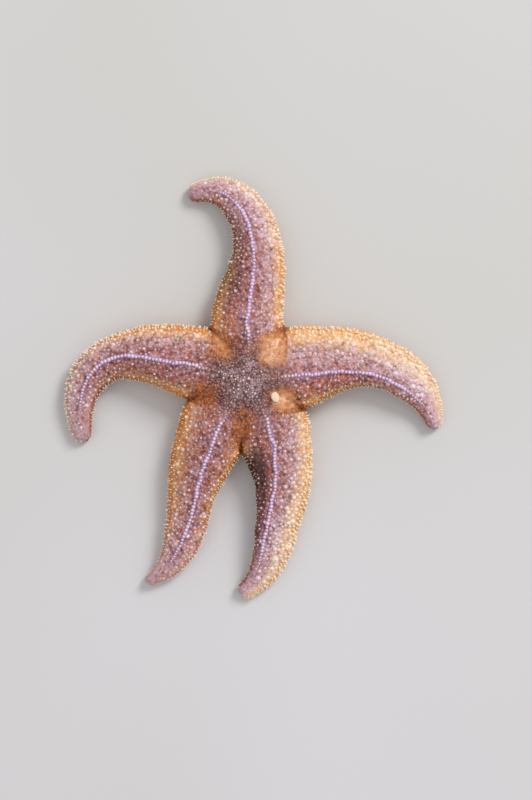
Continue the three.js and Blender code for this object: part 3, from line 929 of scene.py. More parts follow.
def in_sieve_plate(spots, grown):
    """True for spots over the oval sieve plate, grown sideways by so many millimetres."""
    middle, reach, _ = plate_place()
    return np.linalg.norm(spots["place"][:, :2] - middle, axis=1) < reach + grown


@functools.cache
def ridge_spots(body):
    """The row of spines along each ridge, which wavers a little near the disc."""
    groups = []
    for number, sheet in enumerate(body.tops):
        rows = np.arange(sheet.shape[0])
        waver = waves(np.stack((rows, rows * 0, rows * 0), axis=1) * 0.5, 5, SEEDS["waver"] + number)
        rng = np.random.default_rng(SEEDS["ridge"] + number)
        distance = sheet.distance[:, TOP_COLUMNS // 2]
        columns = columns_at(sheet, sheet.arm.lean(distance) * sheet.arm.wall(distance)[0])
        columns += waver * (0.3 + 0.6 * ease(60, 20, rows)) + rng.normal(0, 0.2, len(rows))
        start, stop = RIDGE_SPAN
        spots = lane(body, sheet, columns, RIDGE_PITCH, start, stop * sheet.arm.end)
        ends = ease(start, 20, spots["distance"]) * ease(stop, 0.7, spots["along"])
        spots["girth"] *= 0.7 + 0.5 * ends
        spots["reach"] *= 0.7 + 0.3 * ends
        groups.append(spots)
    return groups


@functools.cache
def edge_spots(body):
    """Rows of long spines round the margin: two over the edge line and one under it."""
    groups = []
    for number, (top, under) in enumerate(zip(body.tops, body.unders)):
        rng = np.random.default_rng(SEEDS["edge"] + number)
        end = top.arm.end - EDGE_SHORT_OF_END
        parts = []
        for side in (1, -1):
            start = top.distance[DISC_ROWS, -1 if side > 0 else 0] + EDGE_FROM_NOTCH
            for turn, pitch, lift, shift in EDGE_ROWS:
                spots = lane(body, top, column_at(side * turn), pitch, start, end, shift, rng)
                spots["direction"] = outward(spots["normal"], lift)
                spots["girth"] *= 1 + 0.7 * ease(-0.15, -0.55, spots["side"])
                parts.append(spots)
            inward, pitch, lift = LOW_EDGE_ROW
            column = UNDER_COLUMNS / 2 + side * (UNDER_COLUMNS / 2 - inward)
            spots = lane(body, under, column, pitch, start, end)
            spots["direction"] = outward(spots["normal"], lift)
            parts.append(spots)
        groups.append(merged(parts))
    return groups


def outward(normals, lift):
    """Level directions out from the body, tipped up by a lift."""
    level = unit(normals * (1, 1, 0))
    level[:, 2] = lift
    return unit(level)


@functools.cache
def back_spots(body):
    """Scattered spines of the whole back, of uneven size and closer together towards the tips."""
    rng = np.random.default_rng(SEEDS["back"])
    spots = sprinkled(body, BACK_TRIES, rng)
    middle = ease(22, 5, spots["centre"])
    size = (0.5 + 0.95 * rng.beta(1.2, 2.4, len(middle))) * (1 - 0.2 * middle)
    outer = ease(0.5, 0.85, spots["along"])
    closer = 0.55 * ease(0.3, 0.95, spots["along"])
    spacing = (BACK_SPACING - closer + 0.28 * outer - 0.4 * middle) * size ** 0.5
    soft = ease(-0.15, -0.55, spots["side"]) * ease(0.1, 0.3, spots["along"])
    sunk = ease(0.2, 0.5, spots["glow"])
    spots["girth"] *= size * (1 + 0.35 * soft) * (1 + 0.32 * outer)
    spots["reach"] *= size * (1 - 0.15 * soft) * (1 - 0.35 * sunk)
    bare = (spots["crease"] > 0.6) & (spots["centre"] > 12)
    keep = (spots["around"] < 0.88 + 0.05 * soft) & ~bare & ~in_sieve_plate(spots, 0.6)
    spots = picked(spots, keep)
    taken = np.concatenate([group["place"] for group in (*ridge_spots(body), *edge_spots(body))])
    spots = thinned(spots, spacing[keep], taken, BACK_CLEARANCE)
    spots["net"] = np.ones(len(spots["net"]))
    return spots


@functools.cache
def network(body):
    """Search tree of points strewn along the links between neighbouring spines of the back."""
    places = np.concatenate([group["place"] for group in (back_spots(body), *ridge_spots(body))])
    feet = search_tree(places)
    strewn = [places]
    for place in places:
        for other, _, gap in feet.find_n(place, 4)[1:]:
            if gap < NET_REACH:
                strewn.append(place + (np.array(other) - place) * np.linspace(0.1, 0.5, 4)[:, None])
    return search_tree(np.concatenate(strewn))


def search_tree(places):
    tree = KDTree(len(places))
    for number, place in enumerate(places):
        tree.insert(place, number)
    tree.balance()
    return tree


def net_at(body, places):
    """1 on the links between the spines, fading to 0 beside them."""
    tree = network(body)
    gaps = np.array([tree.find(place)[2] for place in places])
    outside = ease(8, 16, np.linalg.norm(places[:, :2], axis=1))
    return np.exp(-(gaps / NET_WIDTH) ** 2) * (0.25 + 0.75 * outside)


@functools.cache
def gill_spots(body):
    """Skin gills that fill the skin between the spines of the back and sides."""
    rng = np.random.default_rng(SEEDS["gills"])
    spots = sprinkled(body, GILL_TRIES, rng)
    bareness = ease(0.55, 0.95, spots["crease"]) + ease(0.7, 0.9, spots["around"])
    bare = rng.random(len(bareness)) < bareness
    bare |= rng.random(len(bare)) < 0.35 * ease(0.3, 0.8, spots["glow"])
    spots = picked(spots, ~bare & ~in_sieve_plate(spots, 0.35))
    spacing = GILL_SPACING - 0.2 * ease(0.4, 1, spots["along"])
    taken = np.concatenate([group["place"] for group in (*ridge_spots(body), back_spots(body))])
    spots = thinned(spots, spacing, taken, GILL_CLEARANCE)
    spots["net"] = net_at(body, spots["place"])
    for key in ("girth", "reach"):
        spots[key] *= 1 - 0.45 * spots["net"]
    return spots


@functools.cache
def foot_spots(body):
    """Four rows of tube feet on the roof of each groove, reaching down towards the floor."""
    groups = []
    for number, sheet in enumerate(body.unders):
        arm = sheet.arm
        half_width = arm.groove(sheet.distance[:, UNDER_COLUMNS // 2])[0]
        rng = np.random.default_rng(SEEDS["feet"] + number)
        parts = []
        for side in (1, -1):
            for share, pitch, shift in FOOT_LANES:
                columns = columns_at(sheet, side * share * half_width)
                spots = lane(body, sheet, columns, pitch, FEET_FROM, arm.end - FEET_SHORT_OF_END, shift)
                sideways = side * (share - 0.2) * arm.left(spots["distance"])
                sway = rng.normal(0, FOOT_SWAY, (len(sideways), 2))
                aim = np.concatenate((sideways * 0.7 + sway, -np.ones((len(sideways), 1))), axis=1)
                spots["direction"] = unit(aim)
                tilt = np.linalg.norm(spots["direction"][:, :2], axis=1)
                drop = spots["place"][:, 2] - rng.uniform(*FOOT_CLEARANCE, len(sideways)) - 0.45 * tilt
                spots["reach"] = np.maximum(drop, 0.5) / -spots["direction"][:, 2]
                spots["girth"] *= rng.uniform(0.9, 1.1, len(sideways))
                parts.append(spots)
        groups.append(merged(parts))
    return groups


@functools.cache
def under_spots(body):
    """Rows of spines that line each groove and lie on the flats beside it."""
    groups = []
    for number, sheet in enumerate(body.unders):
        arm = sheet.arm
        middle = sheet.distance[:, UNDER_COLUMNS // 2]
        rim = arm.groove(middle)[0]
        rest = np.maximum(FLAT_REACH * arm.wall(middle)[0] - rim, 0.1)
        rng = np.random.default_rng(SEEDS["under"] + number)
        parts = []
        for side in (1, -1):
            for share, pitch, length, girth, aside, down in UNDER_LANES:
                beyond = share * rest * (1 if share > 0 else 3 * rim / rest)
                columns = columns_at(sheet, side * (rim + beyond))
                start = UNDER_FROM + UNDER_LATER * max(share, 0)
                end = arm.end - UNDER_SHORT_OF_END
                spots = lane(body, sheet, columns, pitch, start, end, rng.random())
                aim = side * aside * arm.left(spots["distance"])
                aim += rng.normal(0, UNDER_SWAY, aim.shape)
                spots["direction"] = unit(np.concatenate((aim, np.full((len(aim), 1), down)), axis=1))
                spots["girth"] = spots["scale"] * girth
                half_thick = 0.24 * spots["girth"]
                spots["place"][:, 2] = np.maximum(spots["place"][:, 2], half_thick + 0.04)
                fall = np.maximum(-spots["direction"][:, 2], 0.01)
                room = (spots["place"][:, 2] - 0.5 * half_thick - 0.03) / fall / 1.1
                spots["reach"] = np.minimum(spots["scale"] * length, room)
                parts.append(spots)
        groups.append(merged(parts))
    return groups


# ---- colours and materials --------------------------------------------------------------

def linear(code):
    """Linear red, green and blue of an sRGB hex colour."""
    parts = (int(code[k:k + 2], 16) / 255 for k in (1, 3, 5))
    return [part / 12.92 if part <= 0.04045 else ((part + 0.055) / 1.055) ** 2.4 for part in parts]


def fill(tree, node, inputs):
    """Fill a node's inputs with values, or link them. A node is linked by its first output in use."""
    for key, value in inputs.items():
        if isinstance(value, bpy.types.Node):
            value = next(socket for socket in value.outputs if socket.enabled)
        if isinstance(value, bpy.types.NodeSocket):
            tree.links.new(value, node.inputs[key])
        else:
            node.inputs[key].default_value = value


def add(tree, kind, inputs=None, **settings):
    """Add a node, set its properties and colour stops, and fill or link its inputs."""
    node = tree.nodes.new(kind)
    for key, value in settings.items():
        if key == "stops":
            for place, _ in value[1:-1]:
                node.color_ramp.elements.new(place)
            for element, (place, colour) in zip(node.color_ramp.elements, value):
                element.position = place
                element.color = (*colour, 1)
        else:
            setattr(node, key, value)
    fill(tree, node, inputs or {})
    return node


def per_mm(size):
    """Noise scale whose grains are about so many millimetres wide."""
    return 1 / (size * MM)


# Coats of colour over the skin, in order: colour, strength, and the ramps whose product says
# where the coat lies. A ramp rises smoothly from 0 where a mark has its first value to 1 where
# it has its second. The last ramp of most keeps the coat on the back.
BACK = ("around", 1.25, 1.0)
OUT = ("along", 0.14, 0.34)
ENDS = ("along", 1.15, 0.75)
VALLEY = ("around", 0.15, 0.5)
RIDGE = ("ridge", 0.9, ("around", 0.085, 0.035), ("centre", 11, 25), ("along", 0.95, 0.8))
COATS = (
    # Painted light and painted shade: the lit coats paint the flank that faces the light paler and the shade
    # coats paint the flank that faces away from it darker, over the skin's own colours, which differ between
    # the flanks too.
    ("lit_upper", 0.85, ("swing", 0.0, -0.25), OUT, BACK),
    ("lit_lower", 0.85, ("swing", -0.35, -0.75), OUT, BACK),
    ("shade_upper", 0.85, ("swing", 0.0, 0.2), OUT, BACK),
    ("shade_lower", 0.8, ("swing", 0.4, 0.75), OUT, BACK),
    ("rim", 0.95, ("around", 0.58, 0.84), ("along", 0.8, 0.45), BACK),
    ("lit_edge", 0.95, ("side", -0.55, -0.95), OUT, BACK),
    # Painted shade: a dark coat where the darker flank bends inward and lies in shade.
    ("shade_deep", 1.0, ("gloom", 0.0, 1.0), BACK),
    ("tip", 0.62, ("along", 0.5, 0.86), ("side", -1.0, -0.6), ("side", 0.9, 0.3), BACK),
    # Painted shade and painted light at the tips: maroon on the side away from the light, cream on the side
    # towards it.
    ("tip_shade", 0.9, ("along", 0.4, 0.68), ("side", 0.22, 0.72), BACK),
    ("tip_lit", 0.75, ("along", 0.4, 0.8), ("side", -0.4, -0.9), BACK),
    ("hub", 0.7, ("wobble", 30, 14), ("around", 0.4, 0.1), BACK),
    ("hub", 0.8, ("wobble", 21, 3), BACK),
    ("crease", 1.0, ("crease", 0.02, 0.32), ("centre", 7, 15), VALLEY, BACK),
    ("crease_low", 0.95, ("crease", 0.38, 0.9), ("centre", 14, 19), VALLEY, BACK),
    ("corner", 0.85, ("glow", 0.02, 0.5), VALLEY, BACK),
    ("patch", 0.78, ("glow", 0.25, 0.7), ("blotches", 0.38, 0.54), BACK),
    # Partly the maroon band beside the ridge and partly painted shade: it lies mostly on the flank away from
    # the light.
    ("groove", 0.85, ("around", 0.05, 0.12), ("around", 0.45, 0.2), OUT, ("side", -0.5, 0.0),
     ("along", 1.05, 0.8)),
    ("star", 0.4, ("around", 0.2, 0.05), ("centre", 26, 12), BACK),
    ("bloom", 0.7, ("around", 0.95, 0.65), ("blooms", 0.48, 0.57), ("swing", 0.4, -0.3),
     ("crease", 0.3, 0.08), BACK),
    ("fleck", 0.65, ("flecks", 0.5, 0.6), ("centre", 6, 16), ("swing", -0.6, 0.0), ("gloom", 0.7, 0.2),
     ENDS, BACK),
    ("blotch", 0.75, ("blotches", 0.46, 0.38), ("around", 1.0, 0.6), ("glow", 0.5, 0.15), ENDS),
    ("ridge", 0.8, *RIDGE[2:]),
)
GRAINS = (
    ("grain_dark", 0.5, ("grains", 0.49, 0.38), ("glow", 0.5, 0.2), ("around", 0.85, 0.5)),
    ("grain_pale", 0.4, ("grains", 0.53, 0.62), ("gloom", 1.4, 0.2), ("around", 0.95, 0.65)),
    ("grain_warm", 0.5, ("sparks", 0.53, 0.6), ("wobble", 8, 18), ("gloom", 0.7, 0.2), ENDS, BACK),
)
CUSHION_COATS = (
    ("upper_bead", 0.8, ("level", 0.5, 0.15), BACK),
    # Painted light: cushions of the flank that faces the light are painted paler.
    ("lit_bead", 0.9, ("side", -0.05, -0.5), ("along", 0.1, 0.28), BACK),
    ("tip_bead", 0.8, ("along", 0.5, 0.85), ("side", 0.9, 0.3), BACK),
    ("edge_bead", 0.9, ("around", 0.45, 0.78)),
    # Painted shade: cushions in the middle of the darker flank are painted dark.
    ("shade_bead", 0.9, ("gloom", 0.1, 1.0), BACK),
    ("crease_bead", 0.95, ("crease", 0.06, 0.4), VALLEY, BACK),
    ("patch_bead", 0.9, ("glow", 0.04, 0.5), VALLEY, BACK),
    ("hub_bead", 0.8, ("wobble", 16, 6), BACK),
    RIDGE,
    ("grain_dark", 0.35, ("grains", 0.48, 0.36), ("around", 0.9, 0.6)),
    ("grain_pale", 0.3, ("sparks", 0.5, 0.6), ("gloom", 1.4, 0.2), ("around", 0.95, 0.65)),
)
TIP_COATS = (
    ("hub_pin", 0.8, ("wobble", 16, 6), BACK),
    ("edge_pin", 0.9, ("around", 0.6, 0.9)),
    ("ridge_pin", 0.85, *RIDGE[2:]),
    ("crease_bead", 0.85, ("crease", 0.1, 0.5), BACK),
)
CUSHION_SHOWS = 0.76  # of a cushion's own colour over that of the skin round it
NET_SHOWS = 0.35  # of the cushions' colour on the links between them
# Uneven fields: width of their patches in millimetres and how many finer layers they have.
FIELDS = {"clouds": (7, 2), "blotches": (2.4, 3), "blooms": (2.6, 2), "flecks": (1.8, 2), "grains": (0.8, 2),
          "sparks": (1.1, 1)}
# Marks that wander: their own name, the mark, the field that moves them and how far.
WANDERING = (
    ("level", "around", "clouds", 0.5), ("swing", "side", "clouds", 0.8),
    ("wobble", "centre", "blotches", 34.0),
)
BANDS = (
    (0, "band"), (0.06, "band"), (0.13, "upper_flank"), (0.28, "flank"), (0.4, "lower_flank"),
    (0.48, "edge"), (0.6, "belly_edge"), (0.85, "belly"),
)


def coated(tree, colour, coats, read, colours):
    """Lay coats of colour over a colour, each where its ramps say."""
    for name, strength, *ramps in coats:
        much = strength
        for mark, start, stop in ramps:
            ramp = add(tree, "ShaderNodeMapRange", {"Value": read[mark], "From Min": start, "From Max": stop},
                       interpolation_type="SMOOTHSTEP")
            much = add(tree, "ShaderNodeMath", {0: much, 1: ramp}, operation="MULTIPLY")
        own = (*getattr(colours, name), 1)
        colour = add(tree, "ShaderNodeMix", {0: much, 6: colour, 7: own}, data_type="RGBA")
    return colour


def markings(colours):
    """Colours of skin, cushions and spine tips all over the animal, shared by its finishes."""
    tree = bpy.data.node_groups.get("starfish_markings")
    if tree:
        return tree
    tree = bpy.data.node_groups.new("starfish_markings", "ShaderNodeTree")
    for name in ("Skin", "Cushion", "Tip"):
        tree.interface.new_socket(name=name, in_out="OUTPUT", socket_type="NodeSocketColor")
    read = {name: add(tree, "ShaderNodeAttribute", attribute_name=name).outputs["Fac"] for name in MARKS}
    place = add(tree, "ShaderNodeTexCoord").outputs["Object"]
    for name, (width, detail) in FIELDS.items():
        grain = {"Vector": place, "Scale": per_mm(width), "Detail": detail}
        read[name] = add(tree, "ShaderNodeTexNoise", grain)
    for name, mark, field, reach in WANDERING:
        drift = add(tree, "ShaderNodeMath", {0: read[field], 1: 0.5}, operation="SUBTRACT")
        moved = {0: drift, 1: reach, 2: read[mark]}
        read[name] = add(tree, "ShaderNodeMath", moved, operation="MULTIPLY_ADD")
    half = add(tree, "ShaderNodeMath", {0: read["level"], 1: 0.5}, operation="MULTIPLY")
    stops = [(at, getattr(colours, name)) for at, name in BANDS]
    bands = add(tree, "ShaderNodeValToRGB", {"Fac": half}, stops=stops)
    plain = coated(tree, bands, COATS, read, colours)
    grained = coated(tree, plain, GRAINS, read, colours)
    bead = coated(tree, (*colours.bead, 1), CUSHION_COATS, read, colours)
    cushion = add(tree, "ShaderNodeMix", {0: CUSHION_SHOWS, 6: plain, 7: bead}, data_type="RGBA")
    tip = coated(tree, (*colours.pin, 1), TIP_COATS, read, colours)
    # The links of lime plates under the skin show through as a pale net.
    shown = add(tree, "ShaderNodeMapRange", {"Value": read["crease"], "From Min": 0.6, "From Max": 0.15})
    linked = add(tree, "ShaderNodeMath", {0: shown, 1: read["net"]}, operation="MULTIPLY")
    much = add(tree, "ShaderNodeMath", {0: linked, 1: NET_SHOWS}, operation="MULTIPLY")
    skin = add(tree, "ShaderNodeMix", {0: much, 6: grained, 7: cushion}, data_type="RGBA")
    add(tree, "NodeGroupOutput", {"Skin": skin, "Cushion": cushion, "Tip": tip})
    return tree


def material(name, **values):
    """New material with its node tree and its shader, which has the given values."""
    made = bpy.data.materials.new(name)
    made.use_nodes = True
    shader = made.node_tree.nodes["Principled BSDF"]
    fill(made.node_tree, shader, {key.replace("_", " "): value for key, value in values.items()})
    return made, made.node_tree, shader


def damp_skin(colours):
    """Leathery skin wet with sea water: soft mottled colour under a thin gloss."""
    made, tree, shader = material(
        "damp_skin", Roughness=0.42, IOR=1.38, Specular_IOR_Level=0.25, Coat_Weight=0.12, Coat_Roughness=0.2)
    marks = add(tree, "ShaderNodeGroup", node_tree=markings(colours)).outputs
    place = add(tree, "ShaderNodeTexCoord").outputs["Object"]
    # Granules in the skin, about 0.4 mm wide.
    grains = add(tree, "ShaderNodeTexNoise", {"Vector": place, "Scale": per_mm(0.4), "Detail": 2})
    bump = add(tree, "ShaderNodeBump", {"Height": grains, "Strength": 0.6, "Distance": 0.25 * MM})
    fill(tree, shader, {"Base Color": marks["Skin"], "Normal": bump})
    return made


def lime_spine(colours):
    """Blunt lime spine in a soft cushion: chalky at its tip, and the skin's colour at its foot."""
    made, tree, shader = material(
        "lime_spine", Roughness=0.5, IOR=1.45, Specular_IOR_Level=0.3, Coat_Weight=0.1, Coat_Roughness=0.25)
    marks = add(tree, "ShaderNodeGroup", node_tree=markings(colours)).outputs
    rise, tone, around = (
        add(tree, "ShaderNodeAttribute", attribute_name=name).outputs["Fac"]
        for name in ("rise", "tone", "around"))
    # Some cushions keep more of the skin's colour than others.
    paler = add(tree, "ShaderNodeMapRange", {"Value": tone, "To Min": 0.35, "To Max": 1.0})
    ramp = {"Value": rise, "From Min": 0.05, "From Max": 0.4, "To Max": paler}
    foot = add(tree, "ShaderNodeMapRange", ramp)
    soft = add(tree, "ShaderNodeMix", {0: foot, 6: marks["Skin"], 7: marks["Cushion"]}, data_type="RGBA")
    # On some spines the skin has drawn back from the tip, on others it still covers it.
    # Those of the margin and the ridge are all bare.
    own = add(tree, "ShaderNodeMath", {0: tone, 1: tone}, operation="MULTIPLY")
    margin = add(tree, "ShaderNodeMapRange", {"Value": around, "From Min": 0.7, "From Max": 0.9})
    ridge = add(tree, "ShaderNodeMapRange", {"Value": around, "From Min": 0.07, "From Max": 0.03})
    rows = add(tree, "ShaderNodeMath", {0: ridge, 1: margin}, operation="MAXIMUM")
    bare = add(tree, "ShaderNodeMath", {0: own, 1: rows}, operation="MAXIMUM")
    end = add(tree, "ShaderNodeMapRange", {"Value": rise, "From Min": 0.4, "From Max": 0.75})
    much = add(tree, "ShaderNodeMath", {0: bare, 1: end}, operation="MULTIPLY")
    whole = add(tree, "ShaderNodeMix", {0: much, 6: soft, 7: marks["Tip"]}, data_type="RGBA")
    fill(tree, shader, {"Base Color": whole})
    return made


def gill_skin(colours):
    """Thin-walled skin gill, nearly clear, so it takes the colour of the body under it."""
    made, tree, shader = material(
        "gill_skin", Roughness=0.4, IOR=1.36, Specular_IOR_Level=0.25, Coat_Weight=0.12, Coat_Roughness=0.2)
    marks = add(tree, "ShaderNodeGroup", node_tree=markings(colours)).outputs
    rise, tone = (
        add(tree, "ShaderNodeAttribute", attribute_name=name).outputs["Fac"] for name in ("rise", "tone"))
    pale = add(tree, "ShaderNodeMapRange", {"Value": tone, "To Max": 0.6})
    much = add(tree, "ShaderNodeMath", {0: rise, 1: pale}, operation="MULTIPLY")
    whole = add(tree, "ShaderNodeMix", {0: much, 6: marks["Skin"], 7: marks["Cushion"]}, data_type="RGBA")
    fill(tree, shader, {"Base Color": whole})
    return made


def plain_flesh(name, roughness, low, high, size):
    """Soft wet flesh that drifts between two colours over grains of a size in millimetres."""
    made, tree, shader = material(name, Roughness=roughness, IOR=1.38, Coat_Weight=0.3, Coat_Roughness=0.2)
    place = add(tree, "ShaderNodeTexCoord").outputs["Object"]
    grains = add(tree, "ShaderNodeTexNoise", {"Vector": place, "Scale": per_mm(size), "Detail": 2})
    tints = add(tree, "ShaderNodeValToRGB", {"Fac": grains}, stops=((0.35, low), (0.65, high)))
    bump = add(tree, "ShaderNodeBump", {"Height": grains, "Strength": 0.4, "Distance": 0.1 * MM})
    fill(tree, shader, {"Base Color": tints, "Normal": bump})
    return made


def foot_skin(colours):
    """Thin clear skin of a tube foot: honey-coloured flesh that shows through, wet all over."""
    return plain_flesh("foot_skin", 0.35, colours.foot, colours.sucker, 0.8)


def lip_skin(colours):
    """Soft skin round the mouth, darker in its folds."""
    return plain_flesh("lip_skin", 0.4, colours.lip_low, colours.lip, 1.2)


def sieve_plate_lime(colours):
    """Porous lime plate under thin skin: pale ridges over tan grooves."""
    return plain_flesh("sieve_plate_lime", 0.6, colours.plate_low, colours.plate, 0.35)


def eye_cups(colours):
    """Cushion of pigment cups: glossy, bright red over dark red."""
    return plain_flesh("eye_cups", 0.2, colours.eye_low, colours.eye, 0.12)


def stage_paint(colours):
    """Matt painted board with faint clouds about 300 mm wide."""
    made, tree, shader = material("stage_paint", Roughness=0.85)
    place = add(tree, "ShaderNodeTexCoord").outputs["Object"]
    clouds = add(tree, "ShaderNodeTexNoise", {"Vector": place, "Scale": per_mm(300), "Detail": 2})
    stops = ((0.3, colours.floor_low), (0.7, colours.floor_high))
    fill(tree, shader, {"Base Color": add(tree, "ShaderNodeValToRGB", {"Fac": clouds}, stops=stops)})
    return made


def finish_of(make, context):
    """A finish made once, under its maker's name, and shared by the pieces that have it."""
    return bpy.data.materials.get(make.__name__) or make(context.scene.starfish.colours)


# ---- settings ---------------------------------------------------------------------------

def length(name, description, value):
    return FloatProperty(name=name, description=description, default=value * MM, unit="LENGTH", precision=5)


def at_stations(name, description, values, unit="LENGTH"):
    """Six values, one for each even station from the disc's middle to the tip."""
    return FloatVectorProperty(
        name=name, description=f"{description}, at six even stations", size=STATIONS, default=values,
        unit=unit, precision=5)


def lengths(name, description, values):
    return at_stations(name, description, [value * MM for value in values])


def titled(name):
    return name.replace("_", " ").capitalize()


def group(title, description, fields):
    """Class of settings."""
    return type(title, (bpy.types.PropertyGroup,), {"__doc__": description, "__annotations__": fields})


def arm_group(name, values):
    """Class of settings for one arm."""
    headings = [math.radians(value) for value in values["headings"]]
    reach = "Of the middle line from the disc's middle to where the tip rounds off"
    return group(name.title().replace("_", "") + "Sizes", f"Sizes of {name}.", {
        "length": length("Length", reach, values["length"]),
        "headings": at_stations("Headings", "Directions of the middle line", headings, "ROTATION"),
        "half_widths": lengths("Half widths", "Over the edge spines", values["half_widths"]),
        "ridge_leans": at_stations(
            "Ridge leans", "Place of the ridge as a share of the half width, left positive",
            values["ridge_leans"], "NONE"),
    })


class BodyShape(bpy.types.PropertyGroup):
    """Sizes that all arms and the disc share."""
    arm_heights: lengths("Arm heights", "Over the ridge spines", ARM_HEIGHTS)
    groove_half_widths: lengths("Groove half widths", "At the floor", GROOVE_HALF_WIDTHS)
    groove_depths: lengths("Groove depths", "From the floor to the roof", GROOVE_DEPTHS)
    coat_depth: length("Coat depth", "How far the skin lies inside the outline over the spines", 0.35)
    disc_radius: length("Disc radius", "Of the low dome in the middle", 20.5)
    disc_height: length("Disc height", "Of the low dome in the middle", 14.8)
    bowl_radius: length("Mouth bowl radius", "Of the hollow that holds the mouth", 5.3)
    bowl_depth: length("Mouth bowl depth", "Of the hollow that holds the mouth", 3.1)


class CoatSizes(bpy.types.PropertyGroup):
    """Sizes of the spines, gills and feet."""
    spine_radius: length("Spine cushion radius", "Of the soft cushion round a back spine", 0.58)
    spine_length: length("Spine length", "Of a back spine over the skin", 0.85)
    edge_length: length("Edge spine length", "Of a spine on the margin over the skin", 0.85)
    gill_radius: length("Gill radius", "Of one skin gill", 0.28)
    gill_length: length("Gill length", "Of one skin gill", 0.26)
    foot_radius: length("Tube foot radius", "Of one tube foot's stem", 0.34)


COLOURS = {
    "band": ("#6c3a40", "Mauve-brown skin beside the ridge"),
    "upper_flank": ("#7c423a", "Mauve-brown skin high on the flanks"),
    "flank": ("#a0603a", "Orange-brown skin of the flanks"),
    "lower_flank": ("#b26c30", "Orange skin low on the flanks"),
    "edge": ("#c47a30", "Orange skin of the margin"),
    "belly_edge": ("#d2a566", "Skin under the margin"),
    "belly": ("#e4c99c", "Cream skin beside the groove"),
    # Painted light and painted shade: the lit colours are the flank that faces the light painted paler, the
    # shade colours the flank that faces away from it painted darker, over the skin's own colours.
    "lit_upper": ("#946468", "Mauve skin high on the pale flank"),
    "lit_lower": ("#967074", "Mauve skin low on the pale flank"),
    "lit_edge": ("#e2b47c", "Ochre skin of the pale flank's margin"),
    "shade_upper": ("#863a42", "Maroon skin high on the dark flank"),
    "shade_lower": ("#a05a3c", "Rust skin low on the dark flank"),
    # Painted shade where the darker flank bends inward.
    "shade_deep": ("#340c10", "Dark skin where the dark flank bends inward"),
    "rim": ("#d28834", "Orange skin of the margins near the disc"),
    "tip": ("#c49cac", "Mauve skin of the arm tips"),
    # Painted shade and painted light at the tips.
    "tip_shade": ("#7c3844", "Maroon skin of the dark side of the tips"),
    "tip_lit": ("#e0bca0", "Cream skin of the pale side of the tips"),
    "patch": ("#e8bc9a", "Pale patches in the corners between the arms"),
    "corner": ("#ca8446", "Orange skin between the roots of the arms"),
    "crease": ("#8e4814", "Rust-orange skin between the arms"),
    "crease_low": ("#54220a", "Rust skin deep between the arms"),
    "star": ("#8a7478", "Grey-mauve skin where the ridges enter the disc"),
    "hub": ("#523034", "Grey-brown skin in the middle of the disc"),
    # Maroon band beside the ridge, partly its own colour and partly painted shade on the flank away from the
    # light.
    "groove": ("#681e2e", "Dark maroon skin along the ridge"),
    "blotch": ("#5a2622", "Maroon blotches of the back"),
    "bloom": ("#ceaec0", "Lavender bloom on the back"),
    "fleck": ("#b85e26", "Rust flecks of the back"),
    "ridge": ("#b896c4", "Lavender skin and cushions along the ridge"),
    "grain_dark": ("#4c2620", "Fine dark grains of the back"),
    "grain_pale": ("#caa090", "Fine pale grains of the back"),
    "grain_warm": ("#c06c32", "Fine orange grains of the back"),
    "patch_bead": ("#dca67e", "Tan cushions in the corners between the arms"),
    "crease_bead": ("#9c501a", "Orange cushions between the arms, and spines there"),
    "bead": ("#d0a09e", "Pink cushions round the back spines"),
    "tip_bead": ("#e8d2de", "Pale mauve cushions of the arm tips"),
    # Painted shade on the cushions in the middle of the darker flank.
    "shade_bead": ("#6e4446", "Cushions where the dark flank bends inward"),
    "upper_bead": ("#caa4b6", "Mauve cushions high on the flanks"),
    # Painted light on the cushions of the flank that faces the light.
    "lit_bead": ("#dec0c8", "Pink cushions of the pale flank"),
    "edge_bead": ("#eed6b4", "Cream cushions round the edge spines"),
    "hub_bead": ("#a48a86", "Grey cushions in the middle of the disc"),
    "pin": ("#f6e6ea", "Chalky tips of the spines"),
    "hub_pin": ("#ece2da", "Tips of the spines in the middle of the disc"),
    "edge_pin": ("#fcecd0", "Tips of the edge spines"),
    "ridge_pin": ("#e2cce6", "Tips of the ridge spines"),
    "plate": ("#f4dfc8", "Ridges of the sieve plate"),
    "plate_low": ("#dfc09c", "Grooves of the sieve plate"),
    "foot": ("#e8c79a", "Stems of the tube feet"),
    "sucker": ("#f2e2c4", "Suckers of the tube feet"),
    "lip": ("#d9a67c", "Soft skin round the mouth"),
    "lip_low": ("#a8643f", "Folds of the skin round the mouth"),
    "eye": ("#c0301c", "Red eye cups"),
    "eye_low": ("#5e0f0a", "Dark red between the eye cups"),
    "floor_low": ("#c6c4c0", "Darker clouds of the floor paint"),
    "floor_high": ("#cecccf", "Floor paint"),
}
StarfishColours = group("StarfishColours", "Colours of the living animal and its stage.", {
    name: FloatVectorProperty(
        name=titled(name), description=description, size=3, min=0, max=1, subtype="COLOR",
        default=linear(code))
    for name, (code, description) in COLOURS.items()
})


def power(name, description, value):
    return FloatProperty(name=name, description=description, default=value, min=0, unit="POWER")


class StageSizes(bpy.types.PropertyGroup):
    """Floor, lights and camera."""
    floor_width: length("Floor width", "Side of the square floor", 4000)
    key_power: power("Key light", "Of the soft main light", 46)
    fill_power: power("Fill light", "Of the soft second light", 8)
    sky: FloatProperty(name="Sky light", description="Strength of the even light all round", default=0.65)
    lens: FloatProperty(name="Lens", description="Focal length in millimetres", default=85)
    view_height: length("View height", "Height of the field that the camera sees", 288)
    view_x: length("View X", "Of the field's middle from the disc's", 8.1)
    view_y: length("View Y", "Of the field's middle from the disc's", -7.02)


ARM_GROUPS = {name: arm_group(name, values) for name, values in ARMS.items()}
GROUPS = {
    **ARM_GROUPS, "shape": BodyShape, "coat": CoatSizes, "colours": StarfishColours, "stage": StageSizes}
Starfish = group("Starfish", "All settings of the starfish.", {
    name: PointerProperty(type=kind, name=titled(name)) for name, kind in GROUPS.items()
})


# ---- operators --------------------------------------------------------------------------

